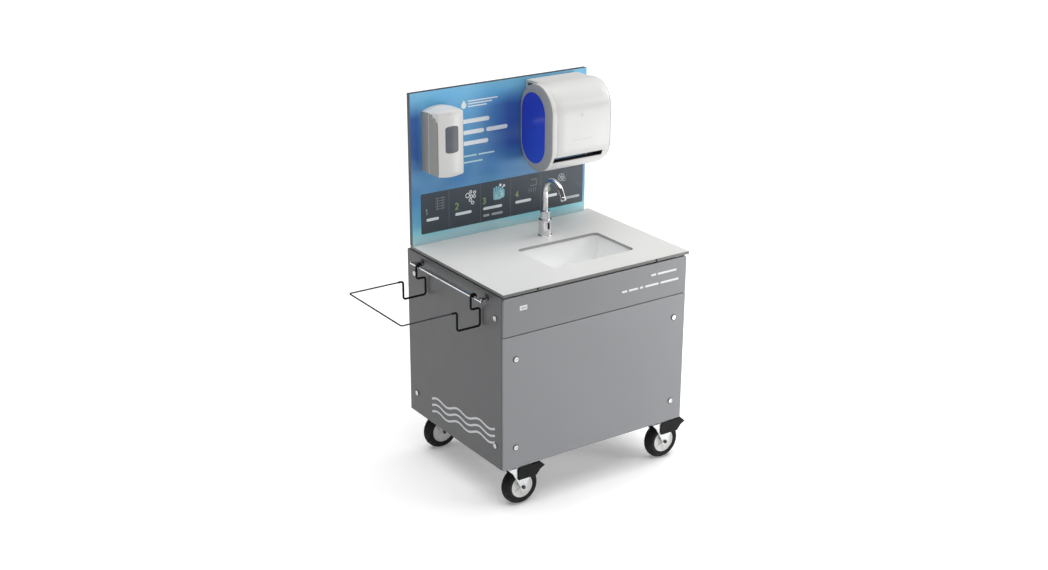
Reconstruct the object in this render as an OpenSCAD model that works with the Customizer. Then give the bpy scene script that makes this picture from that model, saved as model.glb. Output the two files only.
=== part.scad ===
// Portable handwash sink: a wheeled cabinet with a sink, a tap, a sign board,
// a soap dispenser, a paper towel dispenser and a fold-up bag rack.
// X runs to the user's right, Y to the back, Z up. The floor is z = 0.

/* [Cabinet] */
// Width across the side panels
cab_w = 880; // [860:5:920]
// Depth from the front panel's face to the back panel's face
cab_d = 700; // [690:5:720]
// Height of the panels' upper edge
cab_top = 897; // [890:1:905]
// Height of the seam between the apron and the access panel
seam_z = 741; // [700:1:760]
// Thickness of the front panels
front_t = 9; // [6:0.5:12]
// Thickness of the side and back panels
side_t = 6; // [4:0.5:8]
// Width of the frame's square bars
bar = 25; // [20:1:30]

/* [Casters] */
// Overall height, from the floor to the mounting face
caster_h = 185; // [185:1:190]
// Radius of the wheels
wheel_r = 78; // [70:1:78]
// Width of the wheels
wheel_w = 50; // [40:1:50]
// Distance that the wheel trails behind the swivel axis
trail = 27; // [20:1:30]
// Swivel axes, to each side of the middle
caster_x = 358; // [345:1:360]
// Swivel axes, to the front and back of the middle
caster_y = 296; // [290:1:298]

/* [Counter] */
// Height of the counter's top face
counter_z = 915; // [915:1:930]
// Thickness of the counter
counter_t = 12; // [10:1:12]
// Overhang at the right
counter_over = 12; // [0:1:30]

/* [Sink] */
// Middle of the bowl along X
sink_x = 85; // [60:1:110]
// Middle of the bowl along Y
sink_y = -83; // [-100:1:-70]
// Width of the cut-out
sink_w = 400; // [340:1:400]
// Depth of the cut-out from front to back
sink_d = 260; // [220:1:260]
// Depth of the bowl below the counter's top face
bowl_h = 150; // [120:1:160]

/* [Tap] */
// Distance of the tap's axis behind the cabinet's middle
tap_y = 135; // [125:1:150]
// Radius of the spout's bend
bend_r = 58; // [50:1:65]
// Radius of the spout's tube
tube_r = 11.5; // [10:0.5:13]

/* [Sign board] */
// Height of the board's upper edge
sign_top = 1541.5; // [1500:0.5:1600]
// Thickness of the board
sign_t = 22; // [16:1:25]
// Front face of the board
sign_y = 307; // [300:1:310]
// Right end of the board
sign_x1 = 416; // [400:1:430]

/* [Towel dispenser] */
// Left end of the cover
towel_x = 81; // [70:1:100]
// Width of the cover
towel_w = 300; // [280:1:310]
// Radius of the cover's rounded top and bottom
towel_r = 113; // [113:1:113]
// Height of the upper arc's centre
towel_z1 = 1422; // [1422:1:1425]
// Height of the lower arc's centre
towel_z0 = 1286; // [1280:1:1290]
// Radius of the paper roll
roll_r = 85; // [40:1:85]

/* [Soap dispenser] */
// Middle of the dispenser along X
soap_x = -315; // [-320:1:-300]
// Middle of the dispenser along Z
soap_z = 1350; // [1330:1:1370]
// Depth from the board to the cover's front
soap_d = 110; // [105:1:115]

/* [Rail and bag rack] */
// Height of the rail
rail_z = 870; // [860:1:875]
// Distance of the rail's axis from the side panel
rail_out = 37; // [34:1:45]
// Radius of the rail
rail_r = 7; // [6:0.5:8]
// Half the distance between the rack's arms
rack_y = 200; // [180:1:205]
// Reach of the rack from the rail to its outer wire
rack_reach = 313; // [280:1:330]

/* [Hidden] */
$fn = 64;

// the cabinet's middle, set so that the whole outline is centred on the origin
cab_shift = 155;
eps = 0.2;                                  // fitting gap between parts of one body
run = 0.05;                                 // radial clearance of a running fit
half_w = cab_w / 2;
half_d = cab_d / 2;
inner_w = half_w - side_t;                  // inner face of a side panel
panel_gap = 3;                              // open joint between two panels
frame_y0 = -half_d + front_t + 0.5;         // front and back faces of the frame
frame_y1 = half_d - side_t - 0.5;
frame_top = cab_top - 4;
sill_z = caster_h + bar;                    // top of the lower rails
counter_bot = counter_z - counter_t;
counter_y1 = 326;
cross_y = caster_y - 30;                    // rails that carry the casters' inner bolts
bolt_dx = 38;
bolt_dy = 30;
latch_x = 384;
head_r = 10;                                // head of a fastener
head_slot = 6.5;                            // half the length of its slot
latch_zs = [275, 645];
side_latch_y = 295;
side_latch_zs = [275, 805];
stud_r = 4;
plate_t = 4;
leg_in = 28.5;                                // inner face of a fork leg from its middle
leg_t = 3.5;
crown_z = 163;
pedal_in = 33.5;                              // inner face of a pedal cheek
pedal_t = 5;
pedal_pin = [60, 156];                      // brake pedal's pin from the swivel axis
axle_r = 5;
hub_r = 49;
rim_half = wheel_w / 2 - 3;                  // half the width of the hub's rim
boss_half = leg_in - 1;
tap_x = 88;
eye_half = 5;                               // half the width of the sensor window
collar_z = 980;
bend_z = 1100;
bend_angle = 150;
board_x0 = -half_w;
tank_z = sill_z + 3 + eps;
waste_top = 600;
fresh_top = 520;
pump_x = 325;
towel_x1 = towel_x + towel_w;
towel_yc = sign_y - towel_r;
window_r = 82;                              // end windows of the towel cover
towel_pin = [sign_y - 11, 1524];            // hinge of the towel cover
shell_t = 3;
lug_t = 8;                                  // hinge lugs of the towel dispenser's chassis
lug_x0 = towel_x + 37;
lug_x1 = towel_x1 - 37 - lug_t;
roll_c = [towel_yc, 1395];
feed_c = [150, 1262];
feed_r = 15;
roll_x0 = towel_x + 50;
roll_x1 = towel_x1 - 50;
soap_seam_y = 258;                          // plane between the soap dispenser's back and its cover
soap_pin = [soap_seam_y, soap_z - 146];             // hinge of the soap cover
rail_x = -half_w - rail_out;
arm_r = 4.3;
wire_r = 3;
hook_r = rail_r + arm_r + 0.4;

CORNERS = [[-1, -1], [1, -1], [-1, 1], [1, 1]];

module place() { translate([cab_shift, 0, 0]) children(); }

// box between two corners
module box(lo, hi) { translate(lo) cube(hi - lo); }

// plate drawn in X and Z, from y0 to y0 + t
module xz(y0, t) { translate([0, y0 + t, 0]) rotate([90, 0, 0]) linear_extrude(t) children(); }

// plate drawn in Y and Z, from x0 to x0 + t
module yz(x0, t) { translate([x0, 0, 0]) rotate([90, 0, 90]) linear_extrude(t) children(); }

module rod_x(x0, x1, y, z, r) { translate([x0, y, z]) rotate([0, 90, 0]) cylinder(x1 - x0, r, r); }
module rod_y(x, y0, y1, z, r) { translate([x, y1, z]) rotate([90, 0, 0]) cylinder(y1 - y0, r, r); }
module rod_z(x, y, z0, z1, r) { translate([x, y, z0]) cylinder(z1 - z0, r, r); }

module round_rect(w, d, r) {
    square([w - 2 * r, d], center = true);
    square([w, d - 2 * r], center = true);
    for (c = CORNERS) translate([c[0] * (w / 2 - r), c[1] * (d / 2 - r)]) circle(r);
}

// upright slot shape: two circles of radius r at heights z0 and z1, and what lies between
module slot_shape(y, z0, z1, r) {
    translate([y, z0]) circle(r);
    translate([y, z1]) circle(r);
    translate([y - r, z0]) square([2 * r, z1 - z0]);
}

// ---------------------------------------------------------------- casters

module caster_plate() {
    difference() {
        translate([0, 0, caster_h - plate_t]) linear_extrude(plate_t) round_rect(100, 84, 8);
        for (c = CORNERS)
            translate([c[0] * bolt_dx, c[1] * bolt_dy, caster_h - plate_t - 1]) cylinder(plate_t + 2, 4.4, 4.4);
    }
    rod_z(0, 0, crown_z - 1, caster_h - plate_t, 8);
    rod_z(0, 0, crown_z - 4.5, crown_z - 0.5, 12);
}

module at_casters() { for (c = CORNERS) translate([c[0] * caster_x, c[1] * caster_y, 0]) children(); }

module caster_plates() { color("lightgrey") place() at_casters() caster_plate(); }

module caster_bolts() {
    color("silver") place() at_casters() for (c = CORNERS) translate([c[0] * bolt_dx, c[1] * bolt_dy, 0]) {
        translate([0, 0, caster_h - plate_t - 3]) cylinder(3, 6.5, 6.5, $fn = 6);
        rod_z(0, 0, caster_h - plate_t - 0.5, caster_h + 18, 4);
    }
}

// side view of one fork leg, around the swivel axis
module leg_shape(braked) {
    difference() {
        union() {
            polygon([[-37, crown_z + 5], [-37, crown_z - 1], [-23, 148], [trail - 13.5, wheel_r + 4],
                [trail + 13.5, wheel_r + 4], [72, 148], [72, crown_z + 5]]);
            translate([trail, wheel_r]) circle(14);
        }
        translate([trail, wheel_r]) circle(axle_r);
        if (braked) translate(pedal_pin) circle(stud_r + run);
    }
}

module fork(braked) {
    for (y0 = [-leg_in - leg_t, leg_in]) xz(y0, leg_t) leg_shape(braked);
    difference() {
        union() {
            box([-37, -leg_in - 0.5, crown_z], [72, leg_in + 0.5, crown_z + 5]);
            rod_z(0, 0, crown_z + 4, caster_h - plate_t - 1.5, 25);
            rod_z(0, 0, crown_z + 7, caster_h - plate_t - 4, 29);
        }
        rod_z(0, 0, crown_z - 1, caster_h, 8 + run);
    }
}

module axle() {
    rod_y(trail, -leg_in - leg_t - 7, leg_in + leg_t + 7, wheel_r, axle_r);
    for (y0 = [-leg_in - leg_t - 5, leg_in + leg_t])
        translate([trail, y0 + 5, wheel_r]) rotate([90, 0, 0]) cylinder(5, 8.5, 8.5, $fn = 6);
}

module hub() {
    difference() {
        union() {
            rod_y(trail, -rim_half + 3, rim_half - 3, wheel_r, hub_r);
            rod_y(trail, -boss_half, boss_half, wheel_r, 15);
            difference() {
                rod_y(trail, -rim_half, rim_half, wheel_r, hub_r);
                rod_y(trail, -rim_half - 1, rim_half + 1, wheel_r, hub_r - 5);
            }
        }
        rod_y(trail, -boss_half - 1, boss_half + 1, wheel_r, axle_r + run);
    }
}

module tyre() {
    translate([trail, 0, wheel_r]) rotate([90, 0, 0]) rotate_extrude() intersection() {
        translate([hub_r, -wheel_w / 2]) square([wheel_r - hub_r, wheel_w]);
        translate([wheel_r - 30, 0]) circle(30);
    }
}

module brake_pedal() {
    for (y0 = [-pedal_in - pedal_t, pedal_in]) xz(y0, pedal_t)
        polygon([[0, 118], [84, 118], [104, 141], [125, 151], [104, 171], [20, 171], [0, 164]]);
    xz(-pedal_in - 1, 2 * pedal_in + 2)
        polygon([[82, 147], [89, 136], [104, 141], [125, 151], [104, 171], [76, 171]]);
    rod_y(pedal_pin[0], -pedal_in - 1, pedal_in + 1, pedal_pin[1], stud_r);
}

module caster_at(i) {
    place() translate([CORNERS[i][0] * caster_x, CORNERS[i][1] * caster_y, 0]) children();
}

module fork_fl() { color("gainsboro") caster_at(0) fork(true); }
module fork_fr() { color("gainsboro") caster_at(1) fork(true); }
module fork_rl() { color("gainsboro") caster_at(2) fork(false); }
module fork_rr() { color("gainsboro") caster_at(3) fork(false); }
module axle_fl() { color("dimgrey") caster_at(0) axle(); }
module axle_fr() { color("dimgrey") caster_at(1) axle(); }
module axle_rl() { color("dimgrey") caster_at(2) axle(); }
module axle_rr() { color("dimgrey") caster_at(3) axle(); }
module hub_fl() { color("whitesmoke") caster_at(0) hub(); }
module hub_fr() { color("whitesmoke") caster_at(1) hub(); }
module hub_rl() { color("whitesmoke") caster_at(2) hub(); }
module hub_rr() { color("whitesmoke") caster_at(3) hub(); }
module tyre_fl() { color([0.18, 0.18, 0.18]) caster_at(0) tyre(); }
module tyre_fr() { color([0.18, 0.18, 0.18]) caster_at(1) tyre(); }
module tyre_rl() { color([0.18, 0.18, 0.18]) caster_at(2) tyre(); }
module tyre_rr() { color([0.18, 0.18, 0.18]) caster_at(3) tyre(); }
module brake_pedal_fl() { color([0.15, 0.15, 0.16]) caster_at(0) brake_pedal(); }
module brake_pedal_fr() { color([0.15, 0.15, 0.16]) caster_at(1) brake_pedal(); }

// ---------------------------------------------------------------- cabinet

module bar_x(y0, z0, x0, x1) { box([x0, y0, z0], [x1, y0 + bar, z0 + bar]); }
module bar_y(x0, z0, y0, y1) { box([x0, y0, z0], [x0 + bar, y1, z0 + bar]); }

module cabinet_frame() {
    post_x = inner_w - bar;
    post_y0 = frame_y0 + bar;
    post_y1 = frame_y1 - bar;
    strip_w = 43;
    color("darkgrey") place() difference() {
        union() {
            for (x0 = [-inner_w, post_x], y0 = [frame_y0, post_y1])
                box([x0, y0, caster_h], [x0 + bar, y0 + bar, frame_top]);
            for (y0 = [frame_y0, post_y1], z0 = [caster_h, frame_top - bar])
                bar_x(y0, z0, -post_x + eps, post_x - eps);
            for (x0 = [-inner_w, post_x], z0 = [caster_h, frame_top - bar])
                bar_y(x0, z0, post_y0 + eps, post_y1 - eps);
            for (s = [-1, 1]) bar_x(s * cross_y - bar / 2, caster_h, -post_x + eps, post_x - eps);
            bar_x(frame_y0, seam_z - bar / 2, -post_x + eps, post_x - eps);
            // pairs of strips that grip the front latches' studs
            for (x0 = [-post_x + eps, post_x - eps - strip_w], z = latch_zs, z0 = [z - 18, z + stud_r + 0.6])
                box([x0, frame_y0, z0], [x0 + strip_w, frame_y0 + 4, z0 + 18 - stud_r - 0.6]);
        }
        at_casters() for (c = CORNERS)
            rod_z(c[0] * bolt_dx, c[1] * bolt_dy, caster_h - 1, caster_h + 18, 4);
    }
}

module base_pan() {
    color("grey") place() {
        box([-inner_w + bar + eps, frame_y0 + bar + eps, sill_z],
            [inner_w - bar - eps, frame_y1 - bar - eps, sill_z + 3]);
    }
}

module side_panel(x0) {
    depth = cab_d - front_t - panel_gap;
    difference() {
        yz(x0, side_t) translate([half_d - depth / 2, (cab_top + caster_h) / 2])
            round_rect(depth, cab_top - caster_h, 3);
        for (s = [-1, 1], z = side_latch_zs)
            rod_x(x0 - 1, x0 + side_t + 1, s * side_latch_y, z, stud_r);
    }
}

module left_panel() { color([0.39, 0.4, 0.41]) place() side_panel(-half_w); }
module right_panel() { color([0.39, 0.4, 0.41]) place() side_panel(half_w - side_t); }

module back_panel() {
    color([0.39, 0.4, 0.41]) place()
        box([-inner_w + 0.5, half_d - side_t, caster_h], [inner_w - 0.5, half_d, cab_top]);
}

// outline of a front panel with one radius at each upper corner
module front_shape(z0, z1, r) {
    translate([-half_w, z0]) square([cab_w, z1 - z0 - r]);
    translate([-half_w + r, z0]) square([cab_w - 2 * r, z1 - z0]);
    for (s = [-1, 1]) translate([s * (half_w - r), z1 - r]) circle(r);
}

module front_panel() {
    color([0.6, 0.61, 0.62]) place() difference() {
        xz(-half_d, front_t) front_shape(caster_h + 2, seam_z - panel_gap / 2, 2);
        for (s = [-1, 1], z = latch_zs) rod_y(s * latch_x, -half_d - 1, -half_d + front_t + 1, z, stud_r + run);
    }
}

module apron() {
    color([0.68, 0.68, 0.69]) place() xz(-half_d, front_t) front_shape(seam_z + panel_gap / 2, cab_top, 10);
}

// quarter-turn fastener on the front: a round head with a cross slot, and its stud
module latch(i) {
    s = [-1, 1, -1, 1][i];
    z = latch_zs[i < 2 ? 0 : 1];
    color("silver") place() {
        difference() {
            rod_y(s * latch_x, -half_d - 4, -half_d - 0.4, z, head_r);
            box([s * latch_x - head_slot, -half_d - 5, z - 1.2], [s * latch_x + head_slot, -half_d - 2, z + 1.2]);
        }
        rod_y(s * latch_x, -half_d - 2, frame_y0 + 9, z, stud_r);
    }
}

module latch_1() { latch(0); }
module latch_2() { latch(1); }
module latch_3() { latch(2); }
module latch_4() { latch(3); }

module side_latches() {
    color("silver") place() for (s = [-1, 1], y = [-side_latch_y, side_latch_y], z = side_latch_zs) {
        outer = s * (half_w + 4);
        face = s * half_w;
        tip = s * (half_w - side_t - 5);
        difference() {
            rod_x(min(outer, face), max(outer, face), y, z, head_r);
            box([min(outer, outer - s * 2) - (s < 0 ? 1 : 0), y - 1.2, z - head_slot],
                [max(outer, outer - s * 2) + (s > 0 ? 1 : 0), y + 1.2, z + head_slot]);
        }
        rod_x(min(face, tip), max(face, tip), y, z, stud_r);
    }
}

// ---------------------------------------------------------------- counter and sink

module countertop() {
    color([0.93, 0.92, 0.91]) place() difference() {
        box([-half_w, -half_d, counter_bot], [half_w + counter_over, counter_y1, counter_z]);
        translate([sink_x, sink_y, counter_bot - 1]) linear_extrude(counter_t + 2) round_rect(sink_w, sink_d, 22);
        rod_z(tap_x, tap_y, counter_bot - 1, counter_z + 1, 17);
    }
}

module counter_bumpers() {
    front_y = frame_y0 + 10.5;
    color([0.1, 0.1, 0.1]) place() for (x = [-285, 285]) {
        for (y = [front_y, counter_y1 - 6]) rod_z(x, y, frame_top, counter_bot, 9);
        // tongue that lies on the apron's upper edge
        box([x - 7, -half_d + 0.5, cab_top + eps], [x + 7, front_y, counter_bot]);
    }
}

// tapering bowl volume: the cut-out's outline at the top, smaller by taper at height z0
module bowl_form(grow, z0, taper) {
    hull() {
        translate([sink_x, sink_y, counter_bot - 1]) linear_extrude(1)
            round_rect(sink_w + 2 * grow, sink_d + 2 * grow, 26 + grow, $fn = 32);
        translate([sink_x, sink_y, z0]) linear_extrude(1)
            round_rect(sink_w + 2 * grow - 2 * taper, sink_d + 2 * grow - 2 * taper, 22 + grow, $fn = 32);
    }
}

module sink_basin() {
    inner_z = counter_z - bowl_h;
    color("white") place() difference() {
        union() {
            bowl_form(7, inner_z - 6, 34);
            translate([sink_x, sink_y, counter_bot - 8]) linear_extrude(8 - eps)
                round_rect(sink_w + 50, sink_d + 50, 30);
        }
        bowl_form(1, inner_z, 34);
        translate([sink_x, sink_y, counter_bot - 2]) linear_extrude(4)
            round_rect(sink_w + 2, sink_d + 2, 27);
        rod_z(sink_x, sink_y, inner_z - 10, inner_z + 10, 22);
    }
}

module sink_strainer() {
    inner_z = counter_z - bowl_h;
    color("silver") place() difference() {
        union() {
            rod_z(sink_x, sink_y, inner_z + eps, inner_z + 2.5, 30);
            rod_z(sink_x, sink_y, inner_z - 40, inner_z + 1, 21.5);
        }
        rod_z(sink_x, sink_y, inner_z - 41, inner_z - 2, 18);
        for (ring = [[6, 5], [12, 13]], i = [0 : ring[0] - 1])
            translate([sink_x, sink_y, 0]) rotate(i * 360 / ring[0]) rod_z(ring[1], 0, inner_z - 3, inner_z + 3, 1.6);
    }
}

module drain_pipe() {
    inner_z = counter_z - bowl_h;
    color("grey") place() difference() {
        union() {
            rod_z(sink_x, sink_y, waste_top + 4, inner_z - 41, 18);
            rod_z(sink_x, sink_y, inner_z - 50, inner_z - 20, 27);
        }
        rod_z(sink_x, sink_y, inner_z - 41, inner_z - 19, 21.5 + eps);
        rod_z(sink_x, sink_y, waste_top + 3, inner_z - 40, 15);
    }
}

module tank(x0, x1, y0, y1, top) {
    translate([(x0 + x1) / 2, (y0 + y1) / 2, tank_z]) linear_extrude(top - tank_z) round_rect(x1 - x0, y1 - y0, 28);
}

module fresh_tank() { color([0.85, 0.9, 0.95]) place() tank(-395, -175, -200, 120, fresh_top); }
module waste_tank() { color([0.6, 0.62, 0.65]) place() tank(-30, 210, -230, 90, waste_top); }

module tank_caps() {
    color([0.2, 0.3, 0.6]) place() {
        rod_z(-285, -40, fresh_top, fresh_top + 24, 42);
        difference() {
            rod_z(sink_x, sink_y, waste_top, waste_top + 24, 42);
            rod_z(sink_x, sink_y, waste_top + 4 - eps, waste_top + 25, 18 + eps);
        }
    }
}

module pump() {
    color([0.25, 0.25, 0.27]) place() {
        box([pump_x - 55, tap_y - 30, tank_z], [pump_x + 55, tap_y + 90, tank_z + 8]);
        rod_y(pump_x, tap_y - 10, tap_y + 80, tank_z + 45, 38);
        box([pump_x - 42, tap_y - 28, tank_z + 7], [pump_x + 42, tap_y - 9, tank_z + 88]);
        rod_z(pump_x, tap_y - 18, tank_z + 80, tank_z + 100, 9);
    }
}

module battery() {
    color([0.15, 0.15, 0.18]) place() {
        box([255, -150, tank_z], [395, 20, tank_z + 100]);
        for (x = [285, 365]) rod_z(x, -20, tank_z + 99, tank_z + 112, 8);
    }
}

// the hose runs up from the pump, across under the counter and up to the tap's shank
module supply_hose() {
    hose_y = tap_y - 18;
    low = tank_z + 100 + eps;
    run_z = 800;
    bend = 30;
    r = 7;
    color([0.75, 0.75, 0.78]) place() {
        rod_z(pump_x, hose_y, low, run_z - bend, r);
        translate([pump_x - bend, hose_y, run_z - bend]) rotate([90, 0, 0]) rotate_extrude(angle = 90)
            translate([bend, 0]) circle(r);
        rod_x(tap_x + bend, pump_x - bend, hose_y, run_z, r);
        translate([tap_x + bend, hose_y, run_z + bend]) rotate([90, 0, 0]) rotate([0, 0, 180])
            rotate_extrude(angle = 90) translate([bend, 0]) circle(r);
        rod_z(tap_x, hose_y, run_z + bend, 858, r);
        translate([tap_x, tap_y - 9, 858]) cube([20, 32, 8], center = true);
    }
}

// ---------------------------------------------------------------- tap

module faucet_body() {
    color("silver") place() difference() {
        union() {
            rod_z(tap_x, tap_y, counter_z, collar_z, 26.5);
            rod_z(tap_x, tap_y, 862 + eps, counter_z + 1, 14);
            rod_z(tap_x, tap_y, counter_bot - 9, counter_bot - eps, 24);
        }
        box([tap_x - eye_half, tap_y - 40, 946], [tap_x + eye_half, tap_y - 20, 974]);
    }
}

module sensor_window() {
    color([0.08, 0.08, 0.1]) place() intersection() {
        box([tap_x - eye_half + 0.1, tap_y - 40, 946.1], [tap_x + eye_half - 0.1, tap_y - 20.1, 973.9]);
        rod_z(tap_x, tap_y, 940, 980, 26.3);
    }
}

module faucet_collar() {
    color("silver") place() difference() {
        union() {
            rod_z(tap_x, tap_y, collar_z, collar_z + 4, 27);
            rod_z(tap_x, tap_y, collar_z + 3, collar_z + 34, 20);
            rod_z(tap_x, tap_y, collar_z + 34, collar_z + 39, 21);
        }
        rod_z(tap_x, tap_y, collar_z + 8, collar_z + 40, tube_r + run);
    }
}

module faucet_spout() {
    bend_y = tap_y - bend_r;
    color("silver") place() {
        rod_z(tap_x, tap_y, collar_z + 9, bend_z, tube_r);
        translate([tap_x, bend_y, bend_z]) rotate([90, 0, 90]) rotate_extrude(angle = bend_angle)
            translate([bend_r, 0]) circle(tube_r);
        translate([tap_x, bend_y, bend_z]) rotate([bend_angle, 0, 0]) translate([0, bend_r, 0]) {
            translate([0, 0, -2]) cylinder(32, tube_r + 0.3, tube_r + 0.3);
            translate([0, 0, 28]) cylinder(12, tube_r + 1, tube_r + 1);
        }
    }
}

// ---------------------------------------------------------------- sign board

module sign_panel() {
    color([0.3, 0.55, 0.75]) place()
        box([board_x0, sign_y, counter_z + eps], [sign_x1, sign_y + sign_t, sign_top]);
}

module sign_posts() {
    y0 = sign_y + sign_t + eps;
    color([0.2, 0.22, 0.25]) place() for (x0 = [0.5 - inner_w, sign_x1 - 60]) {
        box([x0, y0, frame_top], [x0 + 40, y0 + 6, sign_top - 60]);
        box([x0, frame_y1 - bar, frame_top], [x0 + 40, y0 + 6, frame_top + 4]);
    }
}

// ---------------------------------------------------------------- towel dispenser

// outline of an end window
module window_shape(r) { slot_shape(towel_yc + 21, towel_z0 - 1, towel_z1 - 7, r); }

// side view of the cover's middle: the slot shape with a squared upper back corner
module hood_shape(t) {
    slot_shape(towel_yc, towel_z0, towel_z1, towel_r - t);
    translate([towel_yc, towel_z1]) square([towel_pin[0] - towel_yc, towel_pin[1] + 10 - t - towel_z1]);
    translate([towel_yc, towel_z1]) square([towel_pin[0] + 10 - t - towel_yc, towel_pin[1] - towel_z1]);
    translate(towel_pin) circle(10 - t);
}

// the white shell of the cover, and a ring-shaped frame that closes each end
module towel_cover() {
    mid_x0 = towel_x + 26;
    mid_x1 = towel_x1 - 26;
    end_r = towel_r - 1;
    color("white") place() {
        difference() {
            union() {
                yz(towel_x + shell_t + eps, towel_w - 2 * shell_t - 2 * eps)
                    slot_shape(towel_yc, towel_z0, towel_z1, end_r);
                yz(mid_x0, mid_x1 - mid_x0) hood_shape(0);
            }
            yz(towel_x, towel_w) slot_shape(towel_yc, towel_z0, towel_z1, end_r - shell_t);
            yz(mid_x0 + shell_t, mid_x1 - mid_x0 - 2 * shell_t) hood_shape(shell_t);
            // the back stays open for the chassis on the board
            box([towel_x, 250, 1100], [towel_x1, 320, towel_z1]);
            box([mid_x0 + shell_t, 290, 1100], [mid_x1 - shell_t, 320, towel_pin[1] - 6]);
            // room for the chassis' hinge lugs
            for (x0 = [lug_x0 - 1.5, lug_x1 - 1.5])
                box([x0, towel_pin[0] - 9, 1500], [x0 + lug_t + 3, sign_y, towel_pin[1] + 6]);
            for (x0 = [mid_x0 - 1, mid_x1 - shell_t - 1])
                rod_x(x0, x0 + shell_t + 2, towel_pin[0], towel_pin[1], 3 + run);
            // paper slot
            box([towel_x + 17, 60, 1226], [towel_x1 - 40, 110, 1244]);
        }
        for (x0 = [towel_x, towel_x1 - shell_t]) difference() {
            yz(x0, shell_t) slot_shape(towel_yc, towel_z0, towel_z1, end_r);
            yz(x0 - 1, shell_t + 2) window_shape(window_r);
        }
    }
}

module towel_windows() {
    color([0.15, 0.25, 0.65]) place() for (x0 = [towel_x + 0.5, towel_x1 - shell_t])
        yz(x0, shell_t - 0.5) window_shape(window_r - 0.15);
}

module towel_back() {
    x0 = towel_x + 31;
    x1 = towel_x1 - 31;
    top_z = 1510;
    arm_t = 5;
    arm_x0 = roll_x0 - arm_t - 1;
    arm_x1 = roll_x1 + 1;
    color([0.7, 0.7, 0.7]) place() {
        difference() {
            box([x0, 262, 1225], [x1, sign_y - eps, top_z]);
            box([x0 + 3, 261, 1228], [x1 - 3, sign_y - 4, top_z - 3]);
        }
        // arms that carry the roll and the feed roller
        for (ax = [arm_x0, arm_x1]) box([ax, 140, 1245], [ax + arm_t, sign_y - 3, 1420]);
        rod_x(arm_x0 + 4, arm_x0 + 20, roll_c[0], roll_c[1], 18);
        rod_x(arm_x1 - 15, arm_x1 + 1, roll_c[0], roll_c[1], 18);
        for (ax = [arm_x0, arm_x1 - 7]) rod_x(ax + 1, ax + 11, feed_c[0], feed_c[1], 4);
        // hinge lugs, and the pins that the cover's side walls turn on
        for (lx = [lug_x0, lug_x1]) yz(lx, lug_t) {
            translate(towel_pin) circle(6.5);
            translate([towel_pin[0] - 6.5, top_z - 10]) square([13, towel_pin[1] - top_z + 10]);
        }
        rod_x(towel_x + 25, lug_x0 + lug_t, towel_pin[0], towel_pin[1], 3);
        rod_x(lug_x1, towel_x1 - 25, towel_pin[0], towel_pin[1], 3);
    }
}

module towel_roll() {
    color("white") place() difference() {
        rod_x(roll_x0 + 1, roll_x1 - 1, roll_c[0], roll_c[1], roll_r);
        rod_x(roll_x0, roll_x1, roll_c[0], roll_c[1], 18 + run);
    }
}

module feed_roller() {
    color([0.3, 0.3, 0.32]) place() difference() {
        rod_x(roll_x0 + 1, roll_x1 - 1, feed_c[0], feed_c[1], feed_r);
        rod_x(roll_x0, roll_x1, feed_c[0], feed_c[1], 4 + run);
    }
}

// ---------------------------------------------------------------- soap dispenser

// closed form of the dispenser, smaller by t all round, between y0 and the board
module soap_form(t, y1) {
    front_y = sign_y - soap_d + t;
    bow = 153;
    top_r = 165;
    low_r = 208;
    intersection() {
        // plan: tapering flanks and a bowed front
        translate([soap_x, 0, soap_z - 200]) linear_extrude(400) intersection() {
            polygon([[-75 + t, y1], [-70 + t, soap_seam_y], [-60 + t, front_y + 22], [-50 + t, front_y],
                [50 - t, front_y], [60 - t, front_y + 22], [70 - t, soap_seam_y], [75 - t, y1]]);
            translate([0, front_y + bow]) circle(bow, $fn = 128);
        }
        // front view: arched top and bottom
        translate([soap_x, 0, 0]) xz(front_y - 5, y1 - front_y + 5) intersection() {
            translate([-80, soap_z - 145]) square([160, 290]);
            translate([0, soap_z + 133 - t - top_r]) circle(top_r, $fn = 128);
            translate([0, soap_z - 140 + t + low_r]) circle(low_r, $fn = 128);
        }
    }
}

module soap_back() {
    color([0.55, 0.57, 0.58]) place() difference() {
        soap_form(0, sign_y - eps);
        difference() {
            soap_form(2.5, sign_y - 3);
            box([soap_x - 20, 270, soap_z - 150], [soap_x + 20, sign_y, soap_z - 110]);
        }
        box([soap_x - 100, 100, soap_z - 200], [soap_x + 100, soap_seam_y + 0.5, soap_z + 200]);
    }
    // lugs and pin that the cover turns on
    color([0.55, 0.57, 0.58]) place() {
        for (x0 = [soap_x - 30, soap_x + 24]) yz(x0, 6) {
            translate(soap_pin) circle(4.5);
            translate([soap_pin[0] + 0.5, soap_pin[1] - 4.5]) square([8, 13.5]);
        }
        rod_x(soap_x - 25, soap_x + 25, soap_pin[0], soap_pin[1], 2.5);
    }
}

module soap_cover() {
    color("white") place() difference() {
        intersection() {
            soap_form(0, sign_y - eps);
            box([soap_x - 100, 100, soap_z - 200], [soap_x + 100, soap_seam_y, soap_z + 200]);
        }
        intersection() {
            soap_form(2.5, sign_y - 3);
            box([soap_x - 100, 100, soap_z - 200], [soap_x + 100, soap_seam_y + 1, soap_z + 200]);
        }
        translate([soap_x, 0, soap_z + 15]) xz(150, 60) round_rect(61, 103, 6);
    }
    // knuckle round the hinge pin
    color("white") place() difference() {
        yz(soap_x - 23, 46) {
            translate(soap_pin) circle(4.5);
            translate([soap_pin[0] - 4.5, soap_pin[1]]) square([4.2, 8]);
        }
        rod_x(soap_x - 24, soap_x + 24, soap_pin[0], soap_pin[1], 2.5 + run);
    }
}

module soap_window() {
    color([0.35, 0.38, 0.42]) place() intersection() {
        difference() {
            soap_form(0.5, sign_y - 4);
            soap_form(2.4, sign_y - 3);
        }
        translate([soap_x, 0, soap_z + 15]) xz(150, 60) round_rect(60.6, 102.6, 5.8);
    }
}

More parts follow.
